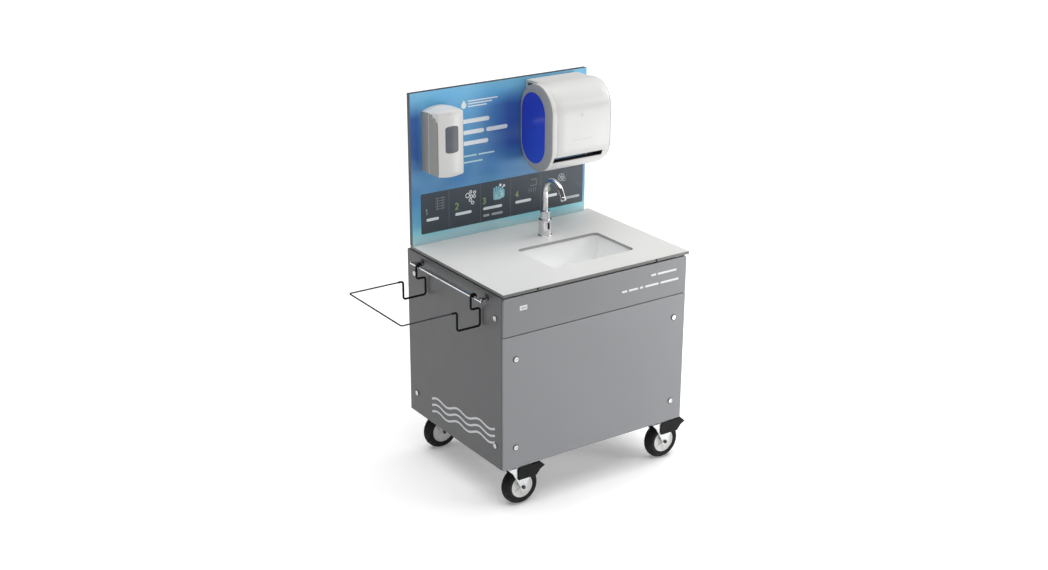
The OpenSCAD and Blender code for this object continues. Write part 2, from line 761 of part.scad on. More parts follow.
module soap_bottle() {
    color([0.9, 0.93, 0.95]) place() {
        translate([soap_x, 264, soap_z - 75]) linear_extrude(150) round_rect(84, 70, 12);
        rod_z(soap_x, 264, soap_z - 105, soap_z - 74, 14);
    }
}

// ---------------------------------------------------------------- rail and bag rack

module towel_rail() {
    color("silver") place() {
        rod_y(rail_x, -257, 257, rail_z, rail_r);
        for (s = [-1, 1]) {
            rod_x(rail_x, -half_w, s * 236, rail_z, 6);
            rod_x(-half_w - 6, -half_w, s * 236, rail_z, 14);
        }
    }
}

// quarter bend in the XZ plane round c, of bend radius b, from angle a0 over a1 degrees
module bend_xz(c, b, a0, a1, r) {
    translate([c[0], c[1], c[2]]) rotate([90, 0, 0]) rotate([0, 0, a0]) rotate_extrude(angle = a1)
        translate([b, 0]) circle(r);
}

module rack_arm(y) {
    b = 10;
    down_x = rail_x - hook_r;
    in_x = -half_w - 8;
    step_z = rail_z - 50;
    low_z = rail_z - 123;
    out_x = -half_w - 110;
    loop_z = rail_z - 48;
    translate([rail_x, y, rail_z]) rotate([90, 0, 0]) mirror([1, 0, 0]) rotate_extrude(angle = 220)
        translate([hook_r, 0]) circle(arm_r);
    rod_z(down_x, y, step_z + b, rail_z, arm_r);
    bend_xz([down_x + b, y, step_z + b], b, 180, 90, arm_r);
    rod_x(down_x + b, in_x - b, y, step_z, arm_r);
    bend_xz([in_x - b, y, step_z - b], b, 0, 90, arm_r);
    rod_z(in_x, y, low_z + b, step_z - b, arm_r);
    bend_xz([in_x - b, y, low_z + b], b, 270, 90, arm_r);
    rod_x(out_x + b, in_x - b, y, low_z, arm_r);
    bend_xz([out_x + b, y, low_z + b], b, 180, 90, arm_r);
    rod_z(out_x, y, low_z + b, loop_z - b, arm_r);
    bend_xz([out_x - b, y, loop_z - b], b, 0, 90, arm_r);
    rod_x(out_x - b - 12, out_x - b, y, loop_z, arm_r);
}

module bag_rack() {
    b = 10;
    out_x = -half_w - 110;
    loop_z = rail_z - 48;
    end_x = rail_x - rack_reach;
    color([0.15, 0.15, 0.15]) place() {
        for (s = [-1, 1]) {
            rack_arm(s * rack_y);
            rod_x(end_x + b, out_x - b - 11, s * rack_y, loop_z, wire_r);
            translate([end_x + b, s * (rack_y - b), loop_z]) rotate([0, 0, s > 0 ? 90 : 180])
                rotate_extrude(angle = 90) translate([b, 0]) circle(wire_r);
        }
        rod_y(end_x, -rack_y + b, rack_y - b, loop_z, wire_r);
    }
}

caster_plates();
caster_bolts();
fork_fl();
fork_fr();
fork_rl();
fork_rr();
axle_fl();
axle_fr();
axle_rl();
axle_rr();
hub_fl();
hub_fr();
hub_rl();
hub_rr();
tyre_fl();
tyre_fr();
tyre_rl();
tyre_rr();
brake_pedal_fl();
brake_pedal_fr();
cabinet_frame();
base_pan();
left_panel();
right_panel();
back_panel();
front_panel();
apron();
latch_1();
latch_2();
latch_3();
latch_4();
side_latches();
countertop();
counter_bumpers();
sink_basin();
sink_strainer();
drain_pipe();
fresh_tank();
waste_tank();
tank_caps();
pump();
battery();
supply_hose();
faucet_body();
faucet_collar();
faucet_spout();
sensor_window();
sign_panel();
sign_posts();
towel_back();
towel_cover();
towel_windows();
towel_roll();
feed_roller();
soap_back();
soap_cover();
soap_window();
soap_bottle();
towel_rail();
bag_rack();
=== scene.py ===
import math

import bmesh
import bpy
from mathutils import Matrix, Quaternion, Vector


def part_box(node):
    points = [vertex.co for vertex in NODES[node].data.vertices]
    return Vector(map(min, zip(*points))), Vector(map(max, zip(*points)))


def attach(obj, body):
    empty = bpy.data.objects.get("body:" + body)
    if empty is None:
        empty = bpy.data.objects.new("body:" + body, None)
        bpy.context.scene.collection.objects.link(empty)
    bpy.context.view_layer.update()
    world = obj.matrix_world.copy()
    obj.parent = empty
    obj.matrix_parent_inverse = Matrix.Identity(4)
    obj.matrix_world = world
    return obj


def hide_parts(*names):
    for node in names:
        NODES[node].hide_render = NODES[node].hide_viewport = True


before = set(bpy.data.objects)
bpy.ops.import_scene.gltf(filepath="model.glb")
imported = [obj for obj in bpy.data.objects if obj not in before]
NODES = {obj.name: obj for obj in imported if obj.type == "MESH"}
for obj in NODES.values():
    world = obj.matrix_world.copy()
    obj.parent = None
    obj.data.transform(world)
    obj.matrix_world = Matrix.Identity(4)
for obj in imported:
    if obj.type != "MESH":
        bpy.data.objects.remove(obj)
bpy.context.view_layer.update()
MM = 0.001


# ---- places taken from the frame

def span(node):
    """Lowest corner, highest corner and middle of a CAD node."""
    low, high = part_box(node)
    return low, high, (low + high) / 2


SIGN_LO, SIGN_HI, _ = span("sign_panel")
COUNTER_LO, COUNTER_HI, _ = span("countertop")
LEFT_LO = span("left_panel")[0]
FRONT_LO, FRONT_HI, _ = span("front_panel")
CAB_X = (LEFT_LO.x + FRONT_HI.x) / 2          # middle of the cabinet, right of the outline's middle
SIDES = ((-1, "a"), (1, "b"))                 # left or front, and right or back


def at(x, y, z):
    """A point given in millimetres from the cabinet's middle at the floor."""
    return Vector((CAB_X + x * MM, y * MM, z * MM))


# ---- materials

def tint(color, factor):
    return tuple(min(1, c * factor) for c in color)


class Shader:
    """A procedural material: a Principled shader and the nodes that feed it."""

    def __init__(self, name, color, roughness, metallic=0.0, **constants):
        self.mat = bpy.data.materials.new(name)
        self.mat.use_nodes = True
        self.tree = self.mat.node_tree
        self.bsdf = self.tree.nodes["Principled BSDF"]
        self.color = color
        self.bsdf.inputs["Base Color"].default_value = (*color, 1)
        self.bsdf.inputs["Roughness"].default_value = roughness
        self.bsdf.inputs["Metallic"].default_value = metallic
        for socket, value in constants.items():
            self.bsdf.inputs[socket.replace("_", " ")].default_value = value
        self.coords = self.add("ShaderNodeTexCoord").outputs["Object"]

    def add(self, kind, inputs=(), **settings):
        """A node with its settings, and what feeds its sockets."""
        node = self.tree.nodes.new(kind)
        for key, value in settings.items():
            setattr(node, key, value)
        for socket, source in dict(inputs).items():
            self.feed(source, node, socket)
        return node

    def feed(self, source, node, socket):
        """Links source to a socket, or sets the socket if source is a plain number, a vector or a colour."""
        target = node.inputs[socket]
        if isinstance(source, bpy.types.NodeSocket):
            self.tree.links.new(source, target)
        else:
            target.default_value = (*source, 1) if target.type == "RGBA" else source

    def stretched(self, scale):
        return self.add("ShaderNodeMapping", {"Scale": scale, "Vector": self.coords}).outputs["Vector"]

    def noise(self, scale, detail=3.0, rough=0.5, coords=None, output="Fac"):
        return self.add("ShaderNodeTexNoise", {"Scale": scale, "Detail": detail, "Roughness": rough,
                                               "Vector": coords or self.coords}).outputs[output]

    def cells(self, scale, output="Distance"):
        return self.add("ShaderNodeTexVoronoi", {"Scale": scale, "Vector": self.coords}).outputs[output]

    def remap(self, value, low, high, to_low, to_high):
        return self.add("ShaderNodeMapRange", {"Value": value, "From Min": low, "From Max": high,
                                               "To Min": to_low, "To Max": to_high}).outputs["Result"]

    def clouds(self, to_low, to_high, *noise):
        """Noise spread over the range from to_low to to_high."""
        return self.remap(self.noise(*noise), 0.3, 0.7, to_low, to_high)

    def math(self, operation, a, b=0.0):
        return self.add("ShaderNodeMath", {0: a, 1: b}, operation=operation).outputs[0]

    def axis(self, name):
        return self.add("ShaderNodeSeparateXYZ", {"Vector": self.coords}).outputs[name]

    def mix(self, factor, a, b):
        """Mixes two colours, each a tuple or a colour output."""
        return self.add("ShaderNodeMix", {0: factor, 6: a, 7: b}, data_type="RGBA").outputs[2]

    def gradient(self, value, stops):
        node = self.add("ShaderNodeValToRGB", {"Fac": value})
        ramp = node.color_ramp
        while len(ramp.elements) < len(stops):
            ramp.elements.new(0.5)
        for element, (place, colour) in zip(ramp.elements, stops):
            element.position = place
            element.color = (*colour, 1)
        return node.outputs["Color"]

    def paint(self, colour):
        self.feed(colour, self.bsdf, "Base Color")

    def vary(self, amount, scale, detail=4.0):
        """Mottles the base colour by plus or minus amount."""
        mask = self.clouds(0.0, 1.0, scale, detail)
        self.paint(self.mix(mask, tint(self.color, 1 - amount), tint(self.color, 1 + amount)))

    def rough(self, low, high, scale, detail=4.0):
        self.feed(self.clouds(low, high, scale, detail), self.bsdf, "Roughness")

    def bump(self, height, depth, strength):
        """Adds a relief of that depth in metres."""
        node = self.add("ShaderNodeBump", {"Strength": strength, "Distance": depth, "Height": height})
        self.feed(node.outputs["Normal"], self.bsdf, "Normal")

    def finish(self, rough, grain, depth, strength):
        """Sets the roughness, adds a grain of that depth in millimetres and gives the material."""
        self.rough(*rough)
        self.bump(self.noise(*grain), depth * MM, strength)
        return self.mat

    def edges(self, radius):
        """1 on sharp edges and 0 on flat faces, from the difference that rounding would make."""
        rounded = self.add("ShaderNodeBevel", {"Radius": radius}, samples=4).outputs["Normal"]
        flat = self.add("ShaderNodeNewGeometry").outputs["Normal"]
        dot = self.add("ShaderNodeVectorMath", {0: rounded, 1: flat}, operation="DOT_PRODUCT")
        return self.remap(dot.outputs["Value"], 0.995, 0.9, 0.0, 1.0)


def powder_coat(name, color):
    """Satin powder coat: orange peel, faint cloudiness and slightly worn edges."""
    s = Shader(name, color, 0.42, Coat_Weight=0.08, Coat_Roughness=0.3)
    cloud = s.clouds(0.0, 1.0, 3.0, 5)
    base = s.mix(cloud, tint(color, 0.98), tint(color, 1.02))
    speck = s.remap(s.noise(1400, 2), 0.62, 0.75, 0.0, 0.2)
    base = s.mix(speck, base, tint(color, 1.35))
    worn = s.math("MULTIPLY", s.edges(1.2 * MM), s.remap(s.noise(60, 6), 0.45, 0.65, 0.1, 0.6))
    s.paint(s.mix(worn, base, tint(color, 1.8)))
    return s.finish((0.43, 0.47, 14), (900, 2), 0.06, 0.5)


def plain(name, color, roughness, mottle, *finish, **constants):
    """A material of one mottled colour and one grain."""
    s = Shader(name, color, roughness, **constants)
    s.vary(*mottle)
    return s.finish(*finish)


def polished(name, color=(0.68, 0.68, 0.69), low=0.05, high=0.12):
    return plain(name, color, low, (0.03, 25), (low, high, 35, 6), (500, 3), 0.01, 0.25, metallic=1.0)


def zinc(name):
    """Bright zinc plate with a faint spangle."""
    color = (0.72, 0.73, 0.74)
    s = Shader(name, color, 0.3, 1.0)
    tone = s.remap(s.cells(220, output="Color"), 0.0, 1.0, 0.0, 1.0)
    s.paint(s.mix(tone, tint(color, 0.86), tint(color, 1.08)))
    return s.finish((0.24, 0.42, 45, 5), (700, 3), 0.02, 0.4)


def brushed(name, color, direction):
    """Metal with fine lines along one axis: direction is the stretch of the grain."""
    s = Shader(name, color, 0.3, 1.0)
    grain = s.noise(1.0, 4, coords=s.stretched(direction))
    s.paint(s.mix(grain, tint(color, 0.8), tint(color, 1.15)))
    s.feed(s.remap(grain, 0.3, 0.7, 0.25, 0.45), s.bsdf, "Roughness")
    s.bump(grain, 0.03 * MM, 0.5)
    return s.mat


def moulded(name, color, low, high, grain=1500.0, depth=0.03, coat=0.0, specular=0.5):
    """Moulded plastic: fine spark-eroded grain, slight tone changes."""
    return plain(name, color, low, (0.012, 9), (low, high, 30, 5), (grain, 2), depth, 0.4, Coat_Weight=coat,
                 Coat_Roughness=0.08, Specular_IOR_Level=specular)


def rubber(name, color=(0.009, 0.009, 0.0093)):
    """Rubber with a dusty bloom and a fine grain."""
    s = Shader(name, color, 0.62, Specular_IOR_Level=0.22)
    bloom = s.remap(s.noise(38, 6, 0.6), 0.45, 0.8, 0.0, 0.4)
    s.paint(s.mix(bloom, color, tuple(c * 2.6 + 0.008 for c in color)))
    return s.finish((0.55, 0.78, 50, 5), (900, 4), 0.08, 0.5)


def stone(name):
    """Pale solid surface: very faint clouds, fine particles and a few darker flecks."""
    s = Shader(name, (0.71, 0.705, 0.686), 0.32)
    cloud = s.clouds(0.0, 1.0, 5, 4, 0.5)
    base = s.mix(cloud, (0.704, 0.699, 0.680), (0.716, 0.711, 0.692))
    fine = s.remap(s.noise(1100, 2, 0.6), 0.55, 0.7, 0.0, 0.14)
    base = s.mix(fine, base, (0.63, 0.62, 0.60))
    fleck = s.remap(s.cells(320), 0.10, 0.04, 0.0, 0.16)
    rare = s.remap(s.noise(60, 2), 0.54, 0.64, 0.0, 1.0)
    s.paint(s.mix(s.math("MULTIPLY", fleck, rare), base, (0.52, 0.51, 0.49)))
    return s.finish((0.3, 0.35, 22, 3), (650, 3), 0.004, 0.15)


def sign_print(name):
    """Printed board: sky blue at the top, deeper in the middle, aqua below, with soft ripples of light, and
    painted shadow of the dispensers in deeper blue beside them.
    """
    s = Shader(name, (0.2, 0.4, 0.6), 0.45, Coat_Weight=0.05, Coat_Roughness=0.2, Specular_IOR_Level=0.3)
    height = s.remap(s.axis("Z"), SIGN_LO.z, SIGN_HI.z, 0.0, 1.0)
    sway = s.clouds(-0.05, 0.05, 1.6, 2)
    tone = s.gradient(s.math("ADD", height, sway), [
        (0.00, (0.50, 0.78, 0.84)), (0.045, (0.29, 0.74, 0.84)), (0.11, (0.13, 0.45, 0.67)),
        (0.36, (0.055, 0.22, 0.49)), (0.52, (0.055, 0.25, 0.50)), (0.72, (0.10, 0.36, 0.67)),
        (0.93, (0.15, 0.49, 0.81)), (1.00, (0.20, 0.52, 0.76))])
    # painted shadow of the dispensers: deeper blue from left of the towel dispenser to the board's right end,
    # and at the board's left end beside the soap dispenser
    centre = s.remap(s.axis("X"), CAB_X - 0.17, CAB_X + 0.02, 0.0, 0.88)
    edge = s.remap(s.axis("X"), CAB_X - 0.37, CAB_X - 0.41, 0.0, 0.8)
    rise = s.remap(s.axis("Z"), 1.18, 1.28, 0.0, 1.0)
    fall = s.remap(s.axis("Z"), 1.51, 1.44, 0.0, 1.0)
    painted_shadow = s.math("MULTIPLY", s.math("MAXIMUM", centre, edge), s.math("MULTIPLY", rise, fall))
    tone = s.mix(painted_shadow, tone, (0.036, 0.088, 0.40))
    bend = s.noise(4.0, 2.0, output="Color")
    bent = s.add("ShaderNodeVectorMath", {0: bend, 1: (0.18, 0.18, 0.18), 2: s.coords},
                 operation="MULTIPLY_ADD").outputs[0]
    warp = s.add("ShaderNodeTexVoronoi", {"Scale": 7.0, "Smoothness": 0.6, "Vector": bent}, feature="SMOOTH_F1")
    ripple = s.remap(warp.outputs["Distance"], 0.35, 0.75, 0.0, 0.14)
    tone = s.mix(ripple, tone, (0.45, 0.72, 0.85))
    dots = s.remap(s.cells(1300), 0.0, 0.6, 0.06, 0.0)
    s.paint(s.mix(dots, tone, (0.02, 0.08, 0.2)))
    return s.finish((0.42, 0.5, 20), (800, 2), 0.01, 0.2)


def vinyl(name, color, specular=0.5):
    """Printed ink on the board: even colour with a faint mottle."""
    return plain(name, color, 0.38, (0.04, 160, 3), (0.32, 0.45, 60), (900, 2), 0.01, 0.3,
                 Specular_IOR_Level=specular)


def window_blue(name):
    """Blue translucent plastic over a dark inside, with a faint vertical draw."""
    s = Shader(name, (0.018, 0.045, 0.36), 0.2, Coat_Weight=0.3, Coat_Roughness=0.1)
    rise = s.remap(s.axis("Z"), 1.20, 1.50, 0.0, 1.0)
    glow = s.clouds(-0.15, 0.15, 7, 3)
    s.paint(s.mix(s.math("ADD", rise, glow), (0.030, 0.080, 0.66), (0.026, 0.052, 0.58)))
    return s.finish((0.12, 0.24, 26, 4), (1100, 2), 0.015, 0.3)


def tank_plastic(name, color, level_z, wet):
    """Blow-moulded tank: the liquid shows as a darker tone below its level."""
    s = Shader(name, color, 0.4, Subsurface_Weight=0.15)
    ripple = s.clouds(-0.003, 0.003, 12, 2)
    below = s.remap(s.math("ADD", s.axis("Z"), ripple), level_z - 0.003, level_z + 0.003, 1.0, 0.0)
    s.paint(s.mix(below, color, wet))
    return s.finish((0.34, 0.5, 30), (260, 4), 0.1, 0.4)


def braid(name):
    """Woven hose cover: crossed bands of bright wire."""
    s = Shader(name, (0.55, 0.56, 0.58), 0.35, 0.7)
    waves = []
    for tilt in (1, -1):
        wave = s.add("ShaderNodeTexWave", {"Scale": 130.0, "Vector": s.stretched((tilt, 1.0, 1.0))},
                     bands_direction="DIAGONAL")
        waves.append(wave.outputs["Fac"])
    cross = s.math("MAXIMUM", waves[0], waves[1])
    s.paint(s.mix(cross, (0.2, 0.2, 0.21), (0.7, 0.71, 0.73)))
    s.bump(cross, 0.4 * MM, 0.8)
    return s.mat


def paper(name, middle_y, middle_z):
    """Paper roll: fibres all over, and fine rings where the wound edge shows."""
    s = Shader(name, (0.84, 0.83, 0.80), 0.85)
    shifted = s.add("ShaderNodeCombineXYZ", {0: s.math("SUBTRACT", s.axis("Y"), middle_y),
                                             1: s.math("SUBTRACT", s.axis("Z"), middle_z)})
    length = s.add("ShaderNodeVectorMath", {0: shifted.outputs[0]}, operation="LENGTH")
    rings = s.math("SINE", s.math("MULTIPLY", length.outputs["Value"], 5200.0))
    fibre = s.noise(420, 5, 0.7)
    s.paint(s.mix(s.remap(rings, -1, 1, 0.0, 0.35), (0.86, 0.85, 0.82), (0.68, 0.67, 0.64)))
    s.bump(s.math("ADD", s.math("MULTIPLY", rings, 0.4), fibre), 0.12 * MM, 0.6)
    return s.mat


PAPER_MID = span("towel_roll")[2]
M = {
    # side and back panels: the front's grey powder coat painted darker, as painted shade
    "side": powder_coat("shaded_side_powder_coat", (0.086, 0.088, 0.092)),
    "front": powder_coat("front_powder_coat", (0.238, 0.243, 0.255)),
    "apron": powder_coat("apron_powder_coat", (0.215, 0.220, 0.230)),
    "edge": powder_coat("sign_edge_slate", (0.035, 0.045, 0.055)),
    "post": powder_coat("sign_post_black", (0.03, 0.033, 0.038)),
    "frame": brushed("frame_aluminium", (0.55, 0.56, 0.57), (900, 900, 25)),
    "pan": brushed("pan_steel", (0.5, 0.5, 0.51), (20, 900, 900)),
    "chrome": polished("chrome"),
    "nickel": polished("latch_nickel", (0.62, 0.62, 0.61), 0.2, 0.34),
    "zinc": zinc("caster_zinc"),
    "black_steel": polished("axle_black_oxide", (0.09, 0.09, 0.095), 0.3, 0.45),
    "rubber": rubber("tyre_rubber"),
    "bumper": rubber("bumper_rubber", (0.012, 0.012, 0.012)),
    "roller": rubber("roller_rubber", (0.04, 0.04, 0.043)),
    "sleeve": moulded("rack_vinyl_dip", (0.003, 0.003, 0.003), 0.45, 0.6, 500, 0.06, specular=0.15),
    "wire": polished("rack_wire_dark", (0.055, 0.055, 0.058), 0.3, 0.45),
    "pedal": moulded("pedal_plastic", (0.006, 0.006, 0.0064), 0.5, 0.65, 1100, 0.06, specular=0.2),
    "hub": moulded("hub_plastic", (0.66, 0.66, 0.65), 0.34, 0.5, 700, 0.04),
    "stone": stone("counter_stone"),
    "core": moulded("laminate_core", (0.125, 0.13, 0.125), 0.4, 0.5, 700, 0.04),
    "glaze": plain("bowl_glaze", (0.93, 0.93, 0.93), 0.12, (0.015, 6), (0.08, 0.2, 18, 5), (45, 3), 0.05, 0.3,
                   Coat_Weight=0.4, Coat_Roughness=0.05),
    "white": moulded("white_abs", (0.675, 0.672, 0.660), 0.34, 0.4, 900, 0.008, 0.08),
    # grey plastic, also used as painted shade on the towel cover's left frame and as painted light on the
    # sink's cut edge
    "shade": moulded("grey_abs_also_painted_light_and_shade", (0.39, 0.39, 0.385), 0.32, 0.42, 900, 0.02, 0.1),
    # grey for the dispenser's flanks: partly its own grey, partly painted shade
    "flank": moulded("flank_abs_and_painted_shade", (0.29, 0.292, 0.283), 0.36, 0.44, 900, 0.01),
    # dark grey for the painted shade in the soap cover's creases
    "dark_grey": moulded("groove_painted_shade", (0.13, 0.13, 0.125), 0.4, 0.5),
    "blue": window_blue("blue_window"),
    "smoked": plain("smoked_window", (0.085, 0.098, 0.118), 0.4, (0.12, 14), (0.38, 0.46, 40), (1200, 2),
                    0.01, 0.3),
    "sensor": moulded("sensor_glass", (0.008, 0.008, 0.010), 0.3, 0.4, specular=0.3),
    "sign": sign_print("sign_print"),
    "band": vinyl("ink_slate", (0.064, 0.080, 0.098), 0.2),
    "fresh": tank_plastic("fresh_tank_plastic", (0.74, 0.79, 0.82), 0.48, (0.50, 0.62, 0.70)),
    "waste": tank_plastic("waste_tank_plastic", (0.42, 0.44, 0.46), 0.34, (0.22, 0.23, 0.24)),
    "cap": moulded("cap_plastic", (0.03, 0.06, 0.20), 0.35, 0.5),
    "dark": moulded("dark_plastic", (0.03, 0.03, 0.033), 0.4, 0.55),
    "pipe": moulded("pipe_plastic", (0.32, 0.33, 0.34), 0.35, 0.5),
    "hose": braid("hose_braid"),
    "paper": paper("paper_roll", PAPER_MID.y, PAPER_MID.z),
    "bottle": tank_plastic("bottle_plastic", (0.75, 0.80, 0.84), 1.38, (0.55, 0.42, 0.62)),
}
for ink, color in (("white", (0.80, 0.86, 0.88)), ("grey", (0.30, 0.33, 0.35)), ("faint", (0.17, 0.20, 0.23)),
                   ("green", (0.28, 0.42, 0.13)), ("teal", (0.20, 0.48, 0.56)), ("pale", (0.45, 0.68, 0.74)),
                   ("silver", (0.42, 0.44, 0.46)), ("bright", (0.72, 0.73, 0.75)),
                   ("wave", (0.60, 0.61, 0.63))):
    M["ink_" + ink] = vinyl("ink_" + ink, color)
M["shade_print"] = vinyl("shade_print", (0.58, 0.59, 0.60))


# ---- mesh helpers

def link(name, data):
    """Makes an object and puts it in the scene."""
    obj = bpy.data.objects.new(name, data)
    bpy.context.scene.collection.objects.link(obj)
    return obj


def set_materials(mesh, material):
    """Gives a mesh or a curve one material, or each of a list."""
    mesh.materials.clear()
    for m in material if isinstance(material, list) else [material]:
        mesh.materials.append(m)


def new_piece(name, mesh, material, body, node=None):
    """Links a mesh as a piece that rides on a body, standing for a CAD node if one is named."""
    piece = link(name, mesh)
    set_materials(mesh, material)
    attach(piece, body)
    if node:
        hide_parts(node)
    return piece


def mesh_from(name, verts, faces, angle=35):
    """A mesh with smooth faces, except where they meet at more than that angle."""
    mesh = bpy.data.meshes.new(name)
    mesh.from_pydata([tuple(v) for v in verts], [], faces)
    work = bmesh.new()
    work.from_mesh(mesh)
    bmesh.ops.remove_doubles(work, verts=work.verts, dist=1e-6)
    bmesh.ops.recalc_face_normals(work, faces=work.faces)
    work.to_mesh(mesh)
    work.free()
    mesh.polygons.foreach_set("use_smooth", [True] * len(mesh.polygons))
    mesh.set_sharp_from_angle(angle=math.radians(angle))
    return mesh


def arc(x, z, r, start, sweep, steps):
    """Points along an arc about (x, z), with its angles in degrees."""
    angles = (math.radians(start + sweep * k / steps) for k in range(steps + 1))
    return [(x + r * math.cos(a), z + r * math.sin(a)) for a in angles]


def mirrored(*half):
    """A profile of (radius, height) from the mirror image of half, low end first, to half in reverse."""
    return [(r, -h, *rest) for r, h, *rest in half] + list(half[::-1])


def fillet(profile, sharpness=3):
    """Rounds the corners of a profile whose points are (u, v) or (u, v, radius)."""
    out = []
    last = len(profile) - 1
    for i, point in enumerate(profile):
        radius = point[2] if len(point) > 2 else 0
        here = Vector(point[:2])
        if not radius or i in (0, last):
            out.append(here)
            continue
        back = Vector(profile[i - 1][:2]) - here
        ahead = Vector(profile[i + 1][:2]) - here
        reach = min(radius, back.length * 0.49, ahead.length * 0.49)
        a, b = here + back.normalized() * reach, here + ahead.normalized() * reach
        for k in range(sharpness + 1):
            t = k / sharpness
            out.append(a.lerp(here, t).lerp(here.lerp(b, t), t))
    return out


def belt(start):
    """Four faces between a loop of four vertices and the next loop."""
    return [(start + i, start + (i + 1) % 4, start + 4 + (i + 1) % 4, start + 4 + i) for i in range(4)]


def revolve(name, profile, centre, axis, material, body, node=None, steps=64, angle=35):
    """Turns a profile of (radius, height) in millimetres about an axis through centre."""
    points = fillet(profile)
    turn = Vector((0, 0, 1)).rotation_difference(Vector(axis)).to_matrix()
    verts, faces = [], []
    for k in range(steps):
        a = 2 * math.pi * k / steps
        for p in points:
            local = Vector((p.x * math.cos(a), p.x * math.sin(a), p.y)) * MM
            verts.append(centre + turn @ local)
    n = len(points)
    for k in range(steps):
        j = (k + 1) % steps
        for i in range(n - 1):
            faces.append((k * n + i, k * n + i + 1, j * n + i + 1, j * n + i))
    mesh = mesh_from(name, verts, faces, angle)
    return new_piece(name, mesh, material, body, node)


def loft(name, rings, material, body, node=None, caps=(True, True), angle=35, keep=None):
    """Joins closed rings of points of equal length. keep(a, b, c, d) may leave a face out."""
    n = len(rings[0])
    verts = [p for shade_ring in rings for p in shade_ring]
    faces = []
    for r in range(len(rings) - 1):
        for i in range(n):
            j = (i + 1) % n
            quad = (r * n + i, r * n + j, (r + 1) * n + j, (r + 1) * n + i)
            if keep is None or keep(*[verts[q] for q in quad]):
                faces.append(quad)
    if caps[0]:
        faces.append(tuple(range(n)))
    if caps[1]:
        faces.append(tuple((len(rings) - 1) * n + i for i in range(n)))
    mesh = mesh_from(name, verts, faces, angle)
    return new_piece(name, mesh, material, body, node)


def add_bevel(piece, width, segments, angle=35):
    m = piece.modifiers.new("round", "BEVEL")
    m.width = width * MM
    m.segments = segments
    m.limit_method = "ANGLE"
    m.angle_limit = math.radians(angle)
    m.harden_normals = True
    m.use_clamp_overlap = True


def soften(node, material, width=0.8, segments=2):
    """Gives a CAD node its material, and rounds its sharp edges."""
    obj = NODES[node]
    set_materials(obj.data, material)
    obj.data.polygons.foreach_set("use_smooth", [True] * len(obj.data.polygons))
    weld = obj.modifiers.new("weld", "WELD")
    weld.merge_threshold = 0.005 * MM
    flat = obj.modifiers.new("flat", "DECIMATE")
    flat.decimate_type = "DISSOLVE"
    flat.angle_limit = math.radians(0.5)
    add_bevel(obj, width, segments, 32)
    even = obj.modifiers.new("even", "WEIGHTED_NORMAL")
    even.weight = 100
    even.keep_sharp = True
    return obj


def bar_loop(x0, z0, x1, z1, radius):
    """Outline of a bar with rounded corners."""
    r = min(radius, (x1 - x0) / 2, (z1 - z0) / 2)
    corners = ((x1 - r, z1 - r), (x0 + r, z1 - r), (x0 + r, z0 + r), (x1 - r, z0 + r))
    return [p for k, (x, z) in enumerate(corners) for p in arc(x, z, r, 90 * k, 90, 4)]


def tube(name, points, radius, material, body, node=None, resolution=8):
    """A round wire or tube along points, each (position, bend radius): bends are arcs."""
    path = []
    for i, (here, bend) in enumerate(points):
        if not bend or i in (0, len(points) - 1):
            path.append(here)
            continue
        back = (points[i - 1][0] - here).normalized()
        ahead = (points[i + 1][0] - here).normalized()
        half = back.angle(ahead) / 2
        reach = bend / math.tan(half)
        centre = here + (back + ahead).normalized() * (bend / math.sin(half))
        start = here + back * reach - centre
        end = here + ahead * reach - centre
        steps = max(4, int(math.degrees(start.angle(end)) / 9))
        turn = start.rotation_difference(end)
        path += [centre + Quaternion().slerp(turn, k / steps) @ start for k in range(steps + 1)]
    curve = bpy.data.curves.new(name, "CURVE")
    curve.dimensions = "3D"
    spline = curve.splines.new("POLY")
    spline.points.add(len(path) - 1)
    for p, target in zip(spline.points, path):
        p.co = (*target, 1)
    spline.use_smooth = True
    curve.bevel_depth = radius
    curve.bevel_resolution = resolution
    curve.use_fill_caps = True
    return new_piece(name, curve, material, body, node)


# ---- camera, light and floor

def aim(obj, toward):
    """Turns a camera or a light so that it looks along toward."""
    obj.rotation_euler = Vector(toward).to_track_quat("-Z", "Y").to_euler()


def make_camera():
    """A camera at the front left, above the counter, that looks down at the cabinet."""
    place, toward, roll = (-3.362, -4.737, 2.947), (0.5297, 0.7711, -0.3532), 0.25
    data = bpy.data.cameras.new("camera")
    data.lens = 52.6
    data.sensor_width = 36
    camera = link("camera", data)
    camera.location = Vector((CAB_X, 0, 0)) + Vector(place)
    look = Vector(toward).to_track_quat("-Z", "Y").to_matrix()
    camera.rotation_euler = (look @ Matrix.Rotation(math.radians(roll), 3, "Z")).to_euler()
    bpy.context.scene.camera = camera


def sun(name, toward, strength, softness, shine):
    data = bpy.data.lights.new(name, "SUN")
    data.energy = strength
    data.angle = math.radians(softness)
    data.specular_factor = shine
    aim(link(name, data), toward)


def softbox(name, place, target, size, power):
    """A panel of light without a highlight; places are in metres from the cabinet's middle."""
    data = bpy.data.lights.new(name, "AREA")
    data.shape = "RECTANGLE"
    data.size, data.size_y = size
    data.energy = power
    data.specular_factor = 0.0
    light = link(name, data)
    light.location = Vector((CAB_X, 0, 0)) + Vector(place)
    light.visible_camera = False
    aim(light, Vector(target) - Vector(place))


